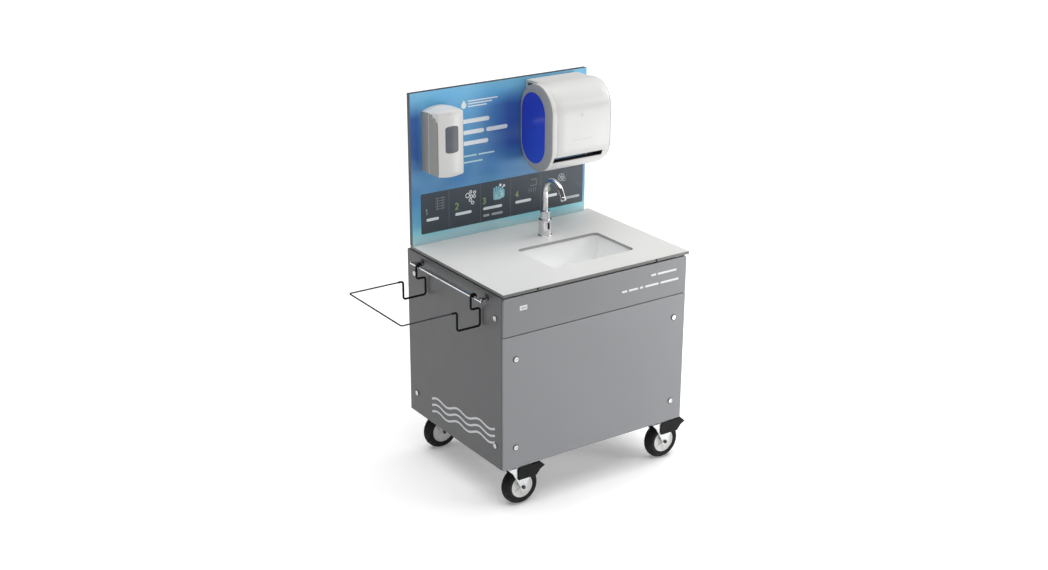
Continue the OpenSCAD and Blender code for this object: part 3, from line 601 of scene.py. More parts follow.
def make_studio():
    world = bpy.data.worlds.new("studio")
    world.use_nodes = True
    background = world.node_tree.nodes["Background"]
    background.inputs["Color"].default_value = (1.0, 1.0, 1.0, 1)
    background.inputs["Strength"].default_value = 0.13
    bpy.context.scene.world = world
    bpy.context.scene.view_settings.view_transform = "Standard"
    sun("key", (-0.66, 0.66, -0.36), 0.32, 14, 0.25)
    sun("overhead", (0.02, 0.02, -1.0), 2.65, 70, 0.6)
    softbox("front_box", (2.0, -1.8, 0.5), (0.35, -0.3, 0.55), (0.9, 0.8), 17)
    softbox("right_box", (1.8, 0.0, 2.0), (0.25, -0.05, 0.92), (1.0, 1.0), 15)
    mesh = bpy.data.meshes.new("floor")
    reach = 40.0
    mesh.from_pydata([(-reach, -reach, 0), (reach, -reach, 0), (reach, reach, 0), (-reach, reach, 0)], [],
                     [(0, 1, 2, 3)])
    s = Shader("floor_paint", (0.95, 0.95, 0.95), 0.8, Emission_Strength=0.20)
    s.bsdf.inputs["Emission Color"].default_value = (1, 1, 1, 1)
    s.vary(0.008, 2.0)
    s.bump(s.noise(60, 3), 0.1 * MM, 0.2)
    mesh.materials.append(s.mat)
    link("floor", mesh)


make_camera()
make_studio()

# ---- casters

RIBS = 6
TYRE = ((49.3, 22.2), (50.5, 23.4, 1), (55, 24.2, 2), (60, 24.9, 1), (61, 25.6, 0.5), (62.6, 25.6, 0.5),
        (63.6, 24.6, 1), (71, 20, 4), (75.6, 13, 4), (77.5, 7, 4), (77.9, 6.4), (77.2, 6), (77.2, 4.6),
        (77.9, 4.2), (78, 0.8), (77.3, 0.4))
HUB = ((5.2, 27.4), (10.5, 27.4, 1), (12.5, 25.5, 1), (15, 20.2, 2), (28, 19.2, 6), (41, 19.4, 3),
       (43.6, 21.8, 1), (47.6, 22, 1), (49.2, 20.6, 1))


def make_wheel(key):
    centre = span("tyre_" + key)[2]
    body = "wheel_" + key
    revolve(f"tyre_{key}_rubber", mirrored(*TYRE), centre, (0, 1, 0), M["rubber"], body,
                    "tyre_" + key, 96, 40)
    revolve(f"hub_{key}_core", mirrored(*HUB), centre, (0, 1, 0), M["hub"], body, "hub_" + key, 96, 30)
    verts, faces = [], []
    for side in (-1, 1):
        for k in range(RIBS):
            turn = Matrix.Rotation(2 * math.pi * (k + 0.5) / RIBS, 3, "Y")
            start = len(verts)
            for r, depth in ((13, 21.8), (42, 20.3), (42, 17), (13, 17)):
                verts += [centre + turn @ (Vector((r, side * depth, edge)) * MM) for edge in (-1.5, 1.5)]
            faces += [tuple(start + i for i in face) for face in (
                (0, 1, 3, 2), (2, 3, 5, 4), (4, 5, 7, 6), (6, 7, 1, 0), (0, 2, 4, 6), (1, 3, 5, 7))]
    ribs = new_piece(f"hub_{key}_ribs", mesh_from("ribs", verts, faces), M["hub"], body)
    add_bevel(ribs, 0.6, 2)


def make_pedal(key):
    """The pedal with four raised grip bars across its tread."""
    soften("brake_pedal_" + key, M["pedal"], 2.0, 3)
    _, high, middle = span("brake_pedal_" + key)
    verts, faces = [], []
    for k in range(4):
        foot = Vector((high.x - (23 + 8 * k) * MM, middle.y, high.z - 0.3 * MM))
        start = len(verts)
        verts += [foot + Vector(p) * MM for p in (
            (0, -30, 0), (3.4, -30, 0), (3.4, 30, 0), (0, 30, 0),
            (0.6, -29.4, 1.1), (2.8, -29.4, 1.1), (2.8, 29.4, 1.1), (0.6, 29.4, 1.1))]
        faces += belt(start) + [tuple(range(start + 4, start + 8))]
    grip = new_piece("pedal_grip_" + key, mesh_from("grip", verts, faces), M["pedal"], "pedal_" + key)


for corner in ("fl", "fr", "rl", "rr"):
    make_wheel(corner)
    soften("fork_" + corner, M["zinc"], 1.0, 3)
    soften("axle_" + corner, M["black_steel"], 0.8)
for corner in ("fl", "fr"):
    make_pedal(corner)
soften("caster_plates", M["zinc"], 0.8)
soften("caster_bolts", M["zinc"], 0.6)

# ---- cabinet

COUNTER_RIM = 0.02                            # metres: what is nearer the outline is the outer edge
UPRIGHT = 0.5                                 # most that the normal of an upright face points up

counter = soften("countertop", [M["stone"], M["core"], M["shade"]], 0.9, 3)
for face in counter.data.polygons:
    middle = counter.matrix_world @ face.center
    inner = all(COUNTER_LO[i] + COUNTER_RIM < middle[i] < COUNTER_HI[i] - COUNTER_RIM for i in (0, 1))
    # painted light: the sink's cut edge takes the lighter grey instead of the dark core of the outer edges
    if abs(face.normal.z) < UPRIGHT:
        face.material_index = 2 if inner else 1
for node, look, width, segments in (
        ("left_panel", "side", 1.2, 3), ("right_panel", "side", 1.2, 3), ("back_panel", "side", 1.2, 3),
        ("front_panel", "front", 1.6, 3), ("apron", "apron", 1.6, 3), ("cabinet_frame", "frame", 1.0, 2),
        ("base_pan", "pan", 1.0, 2), ("side_latches", "nickel", 0.9, 3),
        *((f"latch_{i}", "nickel", 0.9, 3) for i in range(1, 5)),
        ("counter_bumpers", "bumper", 0.6, 2), ("sink_strainer", "chrome", 0.6, 2),
        ("drain_pipe", "pipe", 1.0, 2), ("fresh_tank", "fresh", 7.0, 4), ("waste_tank", "waste", 7.0, 4),
        ("tank_caps", "cap", 2.0, 3), ("pump", "dark", 2.0, 3), ("battery", "dark", 3.0, 3),
        ("supply_hose", "hose", 0.6, 2)):
    soften(node, M[look], width, segments)
BUMPER_X = 285
for side, tag in SIDES:
    seat = Vector((CAB_X + side * BUMPER_X * MM, COUNTER_LO.y, (COUNTER_LO.z + COUNTER_HI.z) / 2))
    revolve("bumper_cap_" + tag, [(0, -0.5), (5, -0.5), (5, 0.5, 0.4), (3.8, 1.5, 0.8), (0, 1.9)], seat,
                    (0, -1, 0), M["bumper"], "cabinet", None, 24)


def rim(place, normal, body, name):
    """Thin dark ring round a fastener's head, standing for the shade in the recess under it: painted shade."""
    profile = [(9.4, 0.02), (12.3, 0.05, 0.3), (12.9, 0.3, 0.3), (12.9, 0.9, 0.3), (10.6, 1.1, 0.3), (9.4, 0.4)]
    revolve(name, profile, place, normal, M["black_steel"], body, None, 48)


for i in range(1, 5):
    middle = span(f"latch_{i}")[2]
    rim(Vector((middle.x, FRONT_LO.y, middle.z)), (0, -1, 0), "access_panel", f"latch_{i}_ring")
for face_x, normal, tag in ((LEFT_LO.x, -1, "l"), (span("right_panel")[1].x, 1, "r")):
    for k, (y, z) in enumerate(((-295, 275), (-295, 805), (295, 275), (295, 805))):
        rim(Vector((face_x, y * MM, z * MM)), (normal, 0, 0), "cabinet", f"side_latch_shade_ring_{tag}{k}")

# ---- bowl

def rounded_ring(w, d, r, x, y, z):
    """A closed loop of a rounded rectangle, w along X and d along Y, as millimetre values."""
    return [at(u, v, z) for k, (sx, sy) in enumerate(((1, 1), (-1, 1), (-1, -1), (1, -1)))
            for u, v in arc(x + sx * (w / 2 - r), y + sy * (d / 2 - r), r, 90 * k, 90, 9)]


def make_bowl():
    """Rings of the outside and the inside, each set in from the rim, and the drain's hole."""
    x, y, width, depth = 85, -83, 400, 260
    under, floor = 759.2, 765
    profile = fillet([(390, under), (37, under, 26), (-3, 892, 20), (-6, 895, 1), (-24, 895, 1),
                      (-24, 902.8, 1), (-1, 902.8, 1), (0, 895, 2), (33, 766.5, 24), (390, floor)], 6)
    rings = [rounded_ring(width - 2 * p.x, depth - 2 * p.x, max(4, 27 - 0.12 * p.x), x, y, p.y)
             for p in profile[1:-1]]
    low, high = (rounded_ring(44, 44, 22, x, y, z) for z in (under, floor))
    bowl = loft("bowl", [low] + rings + [high, low], M["glaze"], "cabinet", "sink_basin", (False, False), 30)


make_bowl()

# ---- tap

TAP_X, TAP_Y = 88, 135
soften("faucet_body", M["chrome"], 1.2, 3)
soften("faucet_collar", M["chrome"], 0.9, 3)
soften("sensor_window", M["sensor"], 0.8, 2)
for name, z, profile in (
        ("tap_foot", 915, [(26.2, 0.05), (29.4, 0.05, 0.6), (29.4, 2.2, 1.2), (27.6, 3.6, 1), (26.2, 3.8)]),
        ("tap_seam", 936, [(26.3, 0), (26.9, 0.2, 0.2), (26.9, 1.0, 0.2), (26.3, 1.2)])):
    revolve(name, profile, at(TAP_X, TAP_Y, z), (0, 0, 1), M["chrome"], "cabinet")


def make_spout():
    """A straight rise, an arc of 150 degrees and a short straight end with the outlet in it."""
    foot, top, bend, swept = 989, 1100, 58, 150
    path = [at(TAP_X, TAP_Y, foot)] + [at(TAP_X, y, z) for y, z in arc(TAP_Y - bend, top, bend, 0, swept, 30)]
    down = Vector((0, -math.sin(math.radians(swept)), math.cos(math.radians(swept))))
    end = path[-1]
    path.append(end + down * 27 * MM)
    tube("spout_tube", [(p, 0) for p in path], 11.5 * MM, M["chrome"], "spout", "faucet_spout", 16)
    nozzle = [(0, 3.5), (9.3, 3.5), (9.3, -0.2, 0.4), (10.6, -0.6, 0.4), (12.2, 0.4, 0.8), (12.4, 11, 0.8),
              (11.6, 13.4, 0.8)]
    revolve("spout_nozzle", nozzle, end + down * 40 * MM, -down, M["chrome"], "spout", None, 48)
    revolve("spout_screen", [(0, 0), (2, 0.4, 0.4), (4, 0, 0.4), (6, 0.4, 0.4), (9.2, 0)],
                    end + down * 38 * MM, -down, M["dark"], "spout", None, 32)


make_spout()

# ---- rail and bag rack

RAIL_X, RAIL_Z = -477, 870
SIDE_X = -440                                 # face of the left panel


def make_rail():
    tube("rail_bar", [(at(RAIL_X, y, RAIL_Z), 0) for y in (-257, 257)], 7 * MM, M["chrome"], "cabinet",
                 "towel_rail", 14)
    for s, tag in SIDES:
        revolve("rail_foot_" + tag, [
            (0, 30.2), (6, 30.2), (6, 6.5), (6.6, 5, 1), (9, 4.4, 1), (13.8, 3.4, 1), (14, 0.1, 0.4), (0, 0.1)],
            at(SIDE_X, s * 236, RAIL_Z), (-1, 0, 0), M["black_steel"], "cabinet", None, 48)
        revolve("rail_end_" + tag, [
            (7.0, -1), (7.4, -0.6, 0.4), (7.4, 1.4, 0.8), (5.5, 2.6, 0.8), (0, 2.9)],
            at(RAIL_X, s * 255.6, RAIL_Z), (0, s, 0), M["chrome"], "cabinet", None, 32)


def make_rack():
    """Two coated arms that hook over the rail and step outwards, and the wire loop between them."""
    hook, arm, wire, bend, half = 11.7, 4.3, 3.0, 10 * MM, 200
    in_x, out_x, end_x = -448, -550, -790
    step_z, low_z, loop_z = 820, 747, 822
    for s, tag in SIDES:
        path = [(at(x, s * half, z), 0) for x, z in arc(RAIL_X, RAIL_Z, hook, -40, 220, 24)]
        path += [(at(x, s * half, z), bend) for x, z in (
            (RAIL_X - hook, step_z), (in_x, step_z), (in_x, low_z), (out_x, low_z), (out_x, loop_z))]
        path.append((at(out_x - 22, s * half, loop_z), 0))
        tube("rack_arm_" + tag, path, arm * MM, M["sleeve"], "rack", None, 10)
    loop = [(at(x, y, loop_z), r) for x, y, r in (
        (out_x - 12, -half, 0), (end_x, -half, bend), (end_x, half, bend), (out_x - 12, half, 0))]
    tube("rack_wire", loop, wire * MM, M["wire"], "rack", "bag_rack", 8)


make_rail()
make_rack()

# ---- soap dispenser

SOAP_X, SOAP_Z, SOAP_SEAM = -315, 1350, 258
SOAP_FRONT, SOAP_BOW = 197, 153               # nearest point of the front, and the radius that it is bowed to
FLANK_NORMAL = 0.7                            # least sideways part of a normal on a flank
FLANK_U = 55                                  # flanks lie further out than this


def soap_outline(half_w, inset, y):
    """Front view of the dispenser: upright flanks, arched top and bottom, rounded corners."""
    corner = 7
    loop = []
    for sign, arch, apex in ((1, 165 - inset, 133 - inset), (-1, 208 - inset, 140 - inset)):
        across = [(half_w - corner) * (1 - 2 * k / 14) for k in range(15)]
        row = [(x, apex - arch + math.sqrt(arch * arch - x * x)) for x in across]
        edge = row[0][1]
        flank = [(half_w, (edge - corner) * k / 8) for k in range(8)]
        flank += arc(half_w - corner, edge - corner, corner, 0, 90, 9)[:-1]
        row = flank + row + [(-u, v) for u, v in reversed(flank)][:-1]
        loop += row if sign > 0 else [(-u, -v) for u, v in row]
    return [(u, y, v) for u, v in loop]


def bow(x):
    """Depth of the bowed front at a distance x from the middle."""
    return SOAP_FRONT + SOAP_BOW - math.sqrt(SOAP_BOW ** 2 - x * x)


def crease_y(v):
    """Depth of the groove between the front and the flank: it turns back near the top."""
    return 209.5 + 36 * max(0, (v - 70) / 44) ** 2


def soap_shell(name, stations, body, node, front):
    """A shell through stations of (half width, inset, depth), closed by the bowed front if front is set."""
    rings = []
    for station in stations:
        shade_ring = soap_outline(*station)
        if front:
            shade_ring = [(u, max(d, bow(u)) if d < 230 else d, v) for u, d, v in shade_ring]
        rings.append([at(SOAP_X + u, d, SOAP_Z + v) for u, d, v in shade_ring])
    if front:
        for t in (0.97, 0.85, 0.7, 0.5, 0.3, 0.12):
            rings.append([at(SOAP_X + u * t, bow(u * t) + 0.9 * max(0, (t - 0.9) * 10) ** 2, SOAP_Z + v * t)
                          for u, d, v in soap_outline(*stations[-1])])
    return loft(name, rings, [M["white"], M["flank"]], body, node, (True, True), 50)


def make_soap():
    stations = [(75, 0.5, 306.8), (75, 0, 305), (71, 0, 262), (70.4, 0.4, 260), (69.5, 1.2, 259.3)]
    back = soap_shell("soap_chassis", stations, "cabinet", "soap_back", False)
    # sideways faces take the darker flank grey: partly a grey flank, partly painted shade
    for face in back.data.polygons:
        face.material_index = int(abs(face.normal.x) > FLANK_NORMAL)
    cover = soap_shell("soap_door_shell", [(69.0, 1.6, 257.6), (69.8, 0.5, 256.6)]
                       + [(69.4 - k, 0, 254 - 4 * k) for k in range(11)]
                       + [(58.6, 0.1, 210.5), (57.4, 0.8, 207.5), (55, 2.4, 204.8), (51.5, 4.8, 202.4)],
                       "soap_door", "soap_cover", True)
    # the flanks behind the crease take the darker flank grey: partly a grey flank, partly painted shade
    for face in cover.data.polygons:
        u, v = (face.center.x - CAB_X) / MM - SOAP_X, face.center.z / MM - SOAP_Z
        if abs(face.normal.x) > FLANK_NORMAL and face.center.y / MM > crease_y(v) and abs(u) > FLANK_U:
            face.material_index = 1
    # painted shade: a dark line along each crease between the front and the flank
    for side, tag in SIDES:
        crease = []
        for k in range(45):
            v = -126 + 240 * k / 44
            y = crease_y(v)
            crease.append((at(SOAP_X + side * (57.9 + 0.25 * (y - 208)), y, SOAP_Z + v), 0))
        tube("soap_crease_shade_" + tag, crease, 1.0 * MM, M["dark_grey"], "soap_door", None, 3)
    row = [(29, 0), (29, 20), (29, 42), (28, 46), (25.5, 48.5)]
    row += [(u, 50 + 3 * (1 - (u / 26) ** 2)) for u in (22 - 4.4 * k for k in range(11))]
    row += [(-25.5, 48.5), (-28, 46), (-29, 42), (-29, 20)]
    loop = row + [(-u, -v) for u, v in row]
    rings = []
    for t, lift in ((1.03, -0.6), (1.03, 0.1), (1.0, 0.55), (0.97, 0.35), (0.9, 0.3), (0.6, 0.3), (0.2, 0.3)):
        rings.append([at(SOAP_X + u * t, bow(u * t) - lift, SOAP_Z + 15 + v * t) for u, v in loop])
    loft("soap_level_window", rings, M["smoked"], "soap_door", "soap_window", (False, True), 30)
    soften("soap_bottle", M["bottle"], 4.0, 3)
    hinge_z = SOAP_Z - 146
    revolve("soap_hinge_knuckle", mirrored((0, 23), (3.8, 23, 0.6), (4.5, 22.3, 0.6)),
                    at(SOAP_X, SOAP_SEAM, hinge_z), (1, 0, 0), M["white"], "soap_door", None, 24)
    for side, tag in SIDES:
        revolve("soap_hinge_lug_" + tag, mirrored((0, 3), (4.2, 3, 0.4), (4.5, 2.6, 0.4)),
                        at(SOAP_X + side * 27, SOAP_SEAM + 0.4, hinge_z), (1, 0, 0), M["shade"], "cabinet",
                        None, 24)


make_soap()

# ---- towel dispenser

soften("towel_back", M["shade"], 1.0, 2)
TOWEL_Y, TOWEL_LOW, TOWEL_HIGH, TOWEL_R = 194, 1286, 1422, 113
WINDOW_Y, WINDOW_LOW, WINDOW_HIGH, WINDOW_R = 215, 1285, 1415, 82
PIN_Y, PIN_Z, PIN_R = 296, 1524, 10           # hinge of the cover, and the radius of its back corner
SLOT_LOW, SLOT_HIGH = 1226.5, 1249
SLOT_X0, SLOT_X1 = 98, 341
OPEN_BACK = 236                               # the cover has no wall further back than this


def stadium(y, z0, z1, r, heights=()):
    """Side view of a slot shape as (y, z) points, from the lower back round the front to the upper back."""
    lower = arc(y, z0, r, 0, -180, 28) + [(y - math.sqrt(r * r - (z - z0) ** 2), z) for z in heights]
    lower.sort(key=lambda p: -math.atan2(p[0] - y, z0 - p[1]))
    front = [(y - r, z0 + (z1 - z0) * t) for t in (0.33, 0.66)]
    back = [(y + r, z1 + (z0 - z1) * t) for t in (0.33, 0.66)]
    return lower + front + arc(y, z1, r, 180, -180, 28) + back


def outline_end(inset):
    return stadium(TOWEL_Y, TOWEL_LOW, TOWEL_HIGH, TOWEL_R - 1 - inset, (SLOT_LOW, SLOT_HIGH))


def outline_middle(inset):
    """The middle's side view: the upper back quarter is pulled out to a squared corner."""
    corner = PIN_R - inset
    out = []
    for y, z in stadium(TOWEL_Y, TOWEL_LOW, TOWEL_HIGH, TOWEL_R - inset, (SLOT_LOW, SLOT_HIGH)):
        if y > TOWEL_Y and z > TOWEL_HIGH:
            a = math.atan2(z - TOWEL_HIGH, y - TOWEL_Y)
            reach = min((PIN_Y + corner - TOWEL_Y) / max(1e-6, math.cos(a)),
                        (PIN_Z + corner - TOWEL_HIGH) / max(1e-6, math.sin(a)))
            y, z = TOWEL_Y + reach * math.cos(a), TOWEL_HIGH + reach * math.sin(a)
            dy, dz = y - PIN_Y, z - PIN_Z
            if dy > 0 and dz > 0:
                long = math.hypot(dy, dz)
                y, z = PIN_Y + dy / long * corner, PIN_Z + dz / long * corner
        out.append((y, z))
    return out


def cover_section(name, stations, outline, open_slot, node=None):
    """One section of the towel cover's shell: stations are (x, inset)."""
    rings = [[at(x, y, z) for y, z in outline(inset)] for x, inset in stations]

    def keep(*corners):
        """Leaves out the open back and, where open_slot is set, the paper slot."""
        x, y, z = zip(*corners)
        x = [(v - CAB_X) / MM for v in x]
        if min(y) / MM > OPEN_BACK and max(z) / MM < TOWEL_HIGH + 1:
            return False
        across = min(x) > SLOT_X0 - 0.5 and max(x) < SLOT_X1 + 0.5
        upright = min(z) / MM > SLOT_LOW - 0.5 and max(z) / MM < SLOT_HIGH + 0.5
        return not (open_slot and across and upright and max(y) / MM < TOWEL_Y)

    piece = loft(name, rings, M["white"], "towel_hood", node, (False, False), 32, keep)
    thick = piece.modifiers.new("thick", "SOLIDIFY")
    thick.thickness = 2.6 * MM
    thick.offset = -1.0
    thick.use_even_offset = True
    add_bevel(piece, 0.7, 2, 40)


def make_towel_cover():
    cover_section("hood_end_left", [(84.4, 1.2), (85.2, 0.3), (87, 0), (98, 0), (107.5, 0)], outline_end, True)
    cover_section("hood_end_right", [(354.5, 0), (362, 0), (369, 1.0), (374, 3.4), (377.6, 7.4)], outline_end,
                  False)
    middle = [(107.2, 12), (107.0, 4), (107.1, 1.6), (107.8, 0.4), (109, 0)]
    middle += [(109 + (SLOT_X1 - 109) * k / 6, 0) for k in range(1, 7)]
    middle += [(353, 0), (354.2, 0.4), (354.9, 1.6), (355, 4), (354.8, 12)]
    cover_section("hood_middle", middle, outline_middle, True, "towel_cover")
    for side, face, tag in ((-1, 81, "a"), (1, 381, "b")):

        def shade_ring(r_out, depth, blend):
            """Between the window's outline at blend 0 and the frame's edge at blend 1."""
            y = WINDOW_Y + (TOWEL_Y - WINDOW_Y) * blend
            z0 = WINDOW_LOW + (TOWEL_LOW - WINDOW_LOW) * blend
            z1 = WINDOW_HIGH + (TOWEL_HIGH - WINDOW_HIGH) * blend
            return [at(face - side * depth, a, b) for a, b in stadium(y, z0, z1, r_out)]

        # the window's ring, the frame's front, and the frame's edge, which is drawn in where the end is rounded
        r, edge = WINDOW_R, 112 if side < 0 else 107
        rings = [shade_ring(r + 0.2, 2.6, 0), shade_ring(r + 0.2, 0.9, 0), shade_ring(r + 0.9, 0.2, 0.03), shade_ring(r + 2, 0.0, 0.07),
                 shade_ring(edge - 4, 0.15, 0.9), shade_ring(edge - 1.6, 0.8, 0.96), shade_ring(edge - 0.4, 1.9, 1),
                 shade_ring(edge - 0.2, 3.1, 1), shade_ring(edge - 5, 3.1, 1), shade_ring(r + 0.2, 2.6, 0)]
        # painted shade: the left frame is the same white plastic as the right one but takes the grey
        loft("hood_frame_" + tag, rings, M["shade"] if side < 0 else M["white"], "towel_hood", None,
                     (False, False), 30)
        glass = [shade_ring(r - 0.1, 2.4, 0), shade_ring(r - 0.1, 1.0, 0), shade_ring(r - 0.7, 0.6, 0)]
        middle_z = (WINDOW_LOW + WINDOW_HIGH) / 2
        for t in (0.9, 0.65, 0.33):
            x = face - side * (0.3 + 0.25 * t)
            glass.append([at(x, WINDOW_Y + (a - WINDOW_Y) * t, middle_z + (b - middle_z) * t)
                          for a, b in stadium(WINDOW_Y, WINDOW_LOW, WINDOW_HIGH, r)])
        loft("hood_window_" + tag, glass, M["blue"], "towel_hood",
                     "towel_windows" if side < 0 else None, (False, True), 30)
    # dark sheet behind the paper slot, narrowing to a slit: painted shade inside the slot
    verts = []
    x0, x1 = SLOT_X0 - 0.4, SLOT_X1 + 0.4
    for low_y, low_z, high_y, high_z in ((98.5, SLOT_LOW - 1, 88, SLOT_HIGH + 1),
                                         (110, SLOT_LOW + 1, 106, SLOT_HIGH - 1),
                                         (121, SLOT_LOW + 6, 121, SLOT_LOW + 7.2)):
        verts += [at(x0, low_y, low_z), at(x1, low_y, low_z), at(x1, high_y, high_z), at(x0, high_y, high_z)]
    faces = belt(0) + belt(4)
    slot_shade = new_piece("hood_slot_shade", mesh_from("slot_shade", verts, faces), M["dark"], "towel_hood")


make_towel_cover()
soften("towel_roll", M["paper"], 1.5, 2)
soften("feed_roller", M["roller"], 1.0, 2)

# ---- sign board

soften("sign_posts", M["post"], 0.8)
FRONT_NORMAL = 0.9                            # least forward part of a normal on a front face
board = soften("sign_panel", [M["sign"], M["edge"]], 0.9, 2)
for face in board.data.polygons:
    face.material_index = 0 if face.normal.y < -FRONT_NORMAL else 1
PLANES = {"sign": SIGN_LO.y / MM, "front": FRONT_LO.y / MM, "hood": TOWEL_Y - TOWEL_R}


def flat_shape(name, groups, material, lift, plane="sign", body="cabinet"):
    """Printed shapes: groups of closed loops of (u, z) in millimetres, each just over the one before."""
    verts, faces = [], []
    for g, group in enumerate(groups):
        height = lift + 0.02 * (g % 12)
        for loop in group:
            faces.append(tuple(range(len(verts), len(verts) + len(loop))))
            for u, v in loop:
                if plane == "side":
                    verts.append(Vector((LEFT_LO.x - height * MM, u * MM, v * MM)))
                else:
                    verts.append(at(u, PLANES[plane] - height, v))
    mesh = bpy.data.meshes.new(name)
    mesh.from_pydata([tuple(v) for v in verts], [], faces)
    wanted = Vector((-1, 0, 0)) if plane == "side" else Vector((0, -1, 0))
    for face in mesh.polygons:
        if face.normal.dot(wanted) < 0:
            face.flip()
    mesh.update()
    new_piece(name, mesh, material, body)


def quads(left, right):
    """Loops that fill the strip between two rows of points."""
    return [[left[i], right[i], right[i + 1], left[i + 1]] for i in range(len(left) - 1)]


def stroke(points, width):
    """A line of (u, z) points drawn with mitred joints, as one group of loops."""
    pts = [Vector(p) for p in points]
    left, right = [], []
    for i, p in enumerate(pts):
        back = (p - pts[i - 1]).normalized() if i else (pts[1] - p).normalized()
        ahead = (pts[i + 1] - p).normalized() if i < len(pts) - 1 else back
        normal = Vector((-(back + ahead).y, (back + ahead).x)).normalized()
        reach = min(width, width / 2 / max(0.35, normal.dot(Vector((-back.y, back.x)))))
        left.append(p + normal * reach)
        right.append(p - normal * reach)
    return quads(left, right)


def disc(x, z, r):
    return arc(x, z, r, 0, 360, 24)[:-1]


def ring_strokes(x, z, r, width):
    return quads(*(arc(x, z, r + s * width / 2, 0, 360, 24) for s in (-1, 1)))


def words(*rows):
    """Rounded bars that stand for printed words, as one group. A row is z0, z1 and each word's x0 and x1."""
    group = []
    for z0, z1, *ends in rows:
        middle, half = (z0 + z1) / 2, (z1 - z0) / 2 * 0.55
        group += [bar_loop(x0, middle - half, x1, middle + half, half) for x0, x1 in zip(ends[::2], ends[1::2])]
    return group


DIGITS = {
    "1": [[(0.15, 0.75), (0.5, 1.0), (0.5, 0.0)]],
    "2": [[(0.05, 0.78), (0.2, 0.97), (0.5, 1.02), (0.8, 0.92), (0.88, 0.7), (0.75, 0.48), (0.05, 0.0),
           (0.92, 0.0)]],
    "3": [[(0.08, 0.85), (0.3, 1.0), (0.62, 1.0), (0.85, 0.8), (0.72, 0.57), (0.42, 0.52), (0.76, 0.45),
           (0.9, 0.22), (0.68, 0.02), (0.3, 0.0), (0.06, 0.15)]],
    "4": [[(0.7, 0.0), (0.7, 1.0), (0.05, 0.3)], [(0.05, 0.3), (0.95, 0.3)]],
    "5": [[(0.85, 1.0), (0.2, 1.0), (0.15, 0.57), (0.5, 0.64), (0.85, 0.45), (0.85, 0.18), (0.55, 0.0),
           (0.1, 0.08)]],
}


def digit(mark, x, z, height, weight):
    return [stroke([(x + u * height * 0.62, z + v * height) for u, v in line], weight) for line in DIGITS[mark]]


def drop_loop(x, z, height):
    """Outline of a falling drop with its point up."""
    r = height * 0.36
    shoulder = z + r * 1.25
    point = [(x + r * 0.38, shoulder), (x, z + height - r), (x - r * 0.38, shoulder)]
    return arc(x, z, r, 150, 240, 24) + point


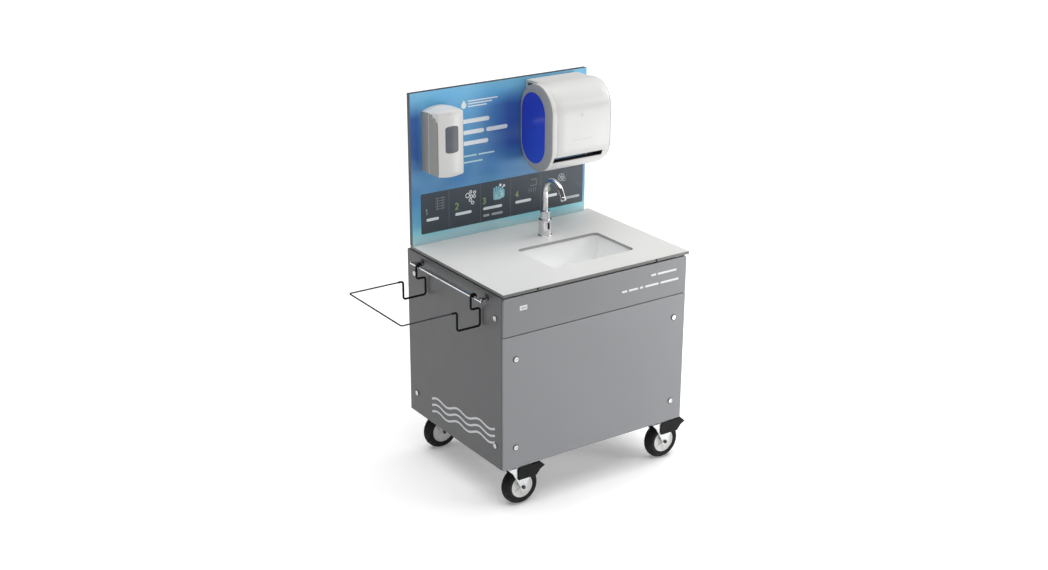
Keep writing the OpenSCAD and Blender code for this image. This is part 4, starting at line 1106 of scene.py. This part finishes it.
def make_print():
    """Everything printed on the board, the apron, the side panel and the towel cover."""
    emblem = [[drop_loop(-192, 1461, 34)]]
    emblem += [[bar_loop(-172, 1474 - 11 * k, -30 - 26 * k, 1479 - 11 * k, 2.2)] for k in range(3)]
    title = words((1379, 1411, -206, -70), (1333, 1365, -206, -96, -86, 18), (1288, 1320, -206, -76))
    subtitle = words((1245, 1257, -206, -132, -124, -46), (1219, 1231, -206, -104))
    numbers = digit("2", -237, 1036, 24, 4.4) + digit("3", -104, 1036, 24, 4.4) + digit("4", 58, 1036, 25, 4.4)
    numbers += digit("5", 221, 1036, 24, 4.4)
    captions = words((1003, 1025, -374, -316, -238, -159, -103, -9, 57, 137, 221, 271))
    notes = words((975, 993, -103, -72, -62, -6), (979, 999, 293, 388))
    wet = [stroke([(-331, 1097 - 11 * k), (-286, 1097 - 11 * k)], 3.2) for k in range(5)]
    wet += [stroke([(x, 1103), (x, 1046)], 2.6) for x in (-322, -296)]
    bubbles = [ring_strokes(x, z, r, 3.4) for x, z, r in (
        (-178, 1085, 9), (-163, 1098, 5.5), (-144, 1094, 5.5), (-160, 1079, 6), (-146, 1077, 6),
        (-165, 1064, 6), (-154, 1051, 6))]
    hands = [[bar_loop(-53, 1042, -10, 1078, 9)], [bar_loop(-30, 1046, 3, 1086, 10)]]
    hands += [[bar_loop(-52 + 10.5 * k, 1064, -43.5 + 10.5 * k, 1092 + tip, 4)]
              for k, tip in enumerate((4, 9, 7, 0))]
    creases = [stroke([(-46, 1050), (-22, 1050), (-12, 1053)], 4),
               stroke([(-20, 1080), (-6, 1069), (-4, 1050)], 3.4), [disc(-10, 1062, 7)], [disc(-38, 1060, 5)]]
    foam = [[disc(-18, 1103, 6)], [disc(0, 1098, 5.5)], [disc(-8, 1092, 3.5)]]
    rinse = [stroke([(136, 1100), (163, 1100), (163, 1072)], 3), stroke([(130, 1074), (160, 1074)], 3)]
    rinse += [stroke([(126 + 11 * k, 1064), (126 + 11 * k, 1046)], 2.6) for k in range(4)]
    dry = [ring_strokes(291, 1086, 15, 3)]
    dry += [stroke([(291, 1086), tip], 4) for tip in arc(291, 1086, 12, 0, 360, 5)[:-1]]
    dry.append(ring_strokes(305, 1075, 8, 2.5))
    on_board, on_band, on_picture = 0.25, 0.4, 0.65           # heights over the board, in millimetres
    for name, groups, ink, lift in (
            ("sign_band", [[bar_loop(-399, 958, 405, 1126, 5)]], "band", on_board),
            ("band_dividers", [[bar_loop(x, 960, x + 1.2, 1124, 0.5) for x in (-268, -117, 33, 186)]],
             "ink_faint", on_band),
            ("sign_emblem", emblem, "ink_white", on_board), ("sign_title", [title], "ink_white", on_board),
            ("sign_subtitle", [subtitle], "ink_pale", on_board),
            ("step_number_1", digit("1", -379, 1036, 24, 3), "ink_silver", on_band),
            ("step_numbers", numbers, "ink_green", on_band),
            ("step_captions", [captions], "ink_white", on_band),
            ("step_notes", [notes], "ink_silver", on_band), ("picto_wet", wet, "ink_faint", on_band),
            ("picto_soap", bubbles, "ink_white", on_band), ("picto_hands", hands, "ink_teal", on_band),
            ("picto_hands_light", creases, "ink_pale", on_picture),
            ("picto_hands_foam", foam, "ink_white", on_picture),
            ("picto_rinse", rinse, "ink_faint", on_band), ("picto_dry", dry, "ink_grey", on_band)):
        flat_shape(name, groups, M[ink], lift)
    notice = words((842, 858, 260, 286, 293, 390), (801, 817, 116, 142, 150, 196, 204, 222, 231, 300, 309, 402))
    for name, group, ink, lift in (
            ("apron_notice", notice, "ink_bright", 0.25),
            ("apron_label", [bar_loop(-367, 838, -333, 857, 2)], "ink_bright", 0.25),
            ("apron_label_mark", words((843, 851, -362, -338)), "ink_grey", 0.4)):
        flat_shape(name, [group], M[ink], lift, "front")
    waves = []
    for row in range(3):
        drops = (468 * k / 72 for k in range(73))            # distance from the wave's start
        waves.append(stroke([(178 - d, 236 + 29 * row + 0.11 * d + 9 * math.sin(d / 468 * 6 * math.pi))
                             for d in drops], 9))
    flat_shape("side_waves", waves, M["ink_wave"], 0.25, "side")
    for name, loop in (("hood_mark", drop_loop(228, 1412, 22)),
                       ("hood_line", bar_loop(177, 1311, 282, 1314.5, 1.6))):
        flat_shape(name, [[loop]], M["shade_print"], 0.2, "hood", "towel_hood")


make_print()
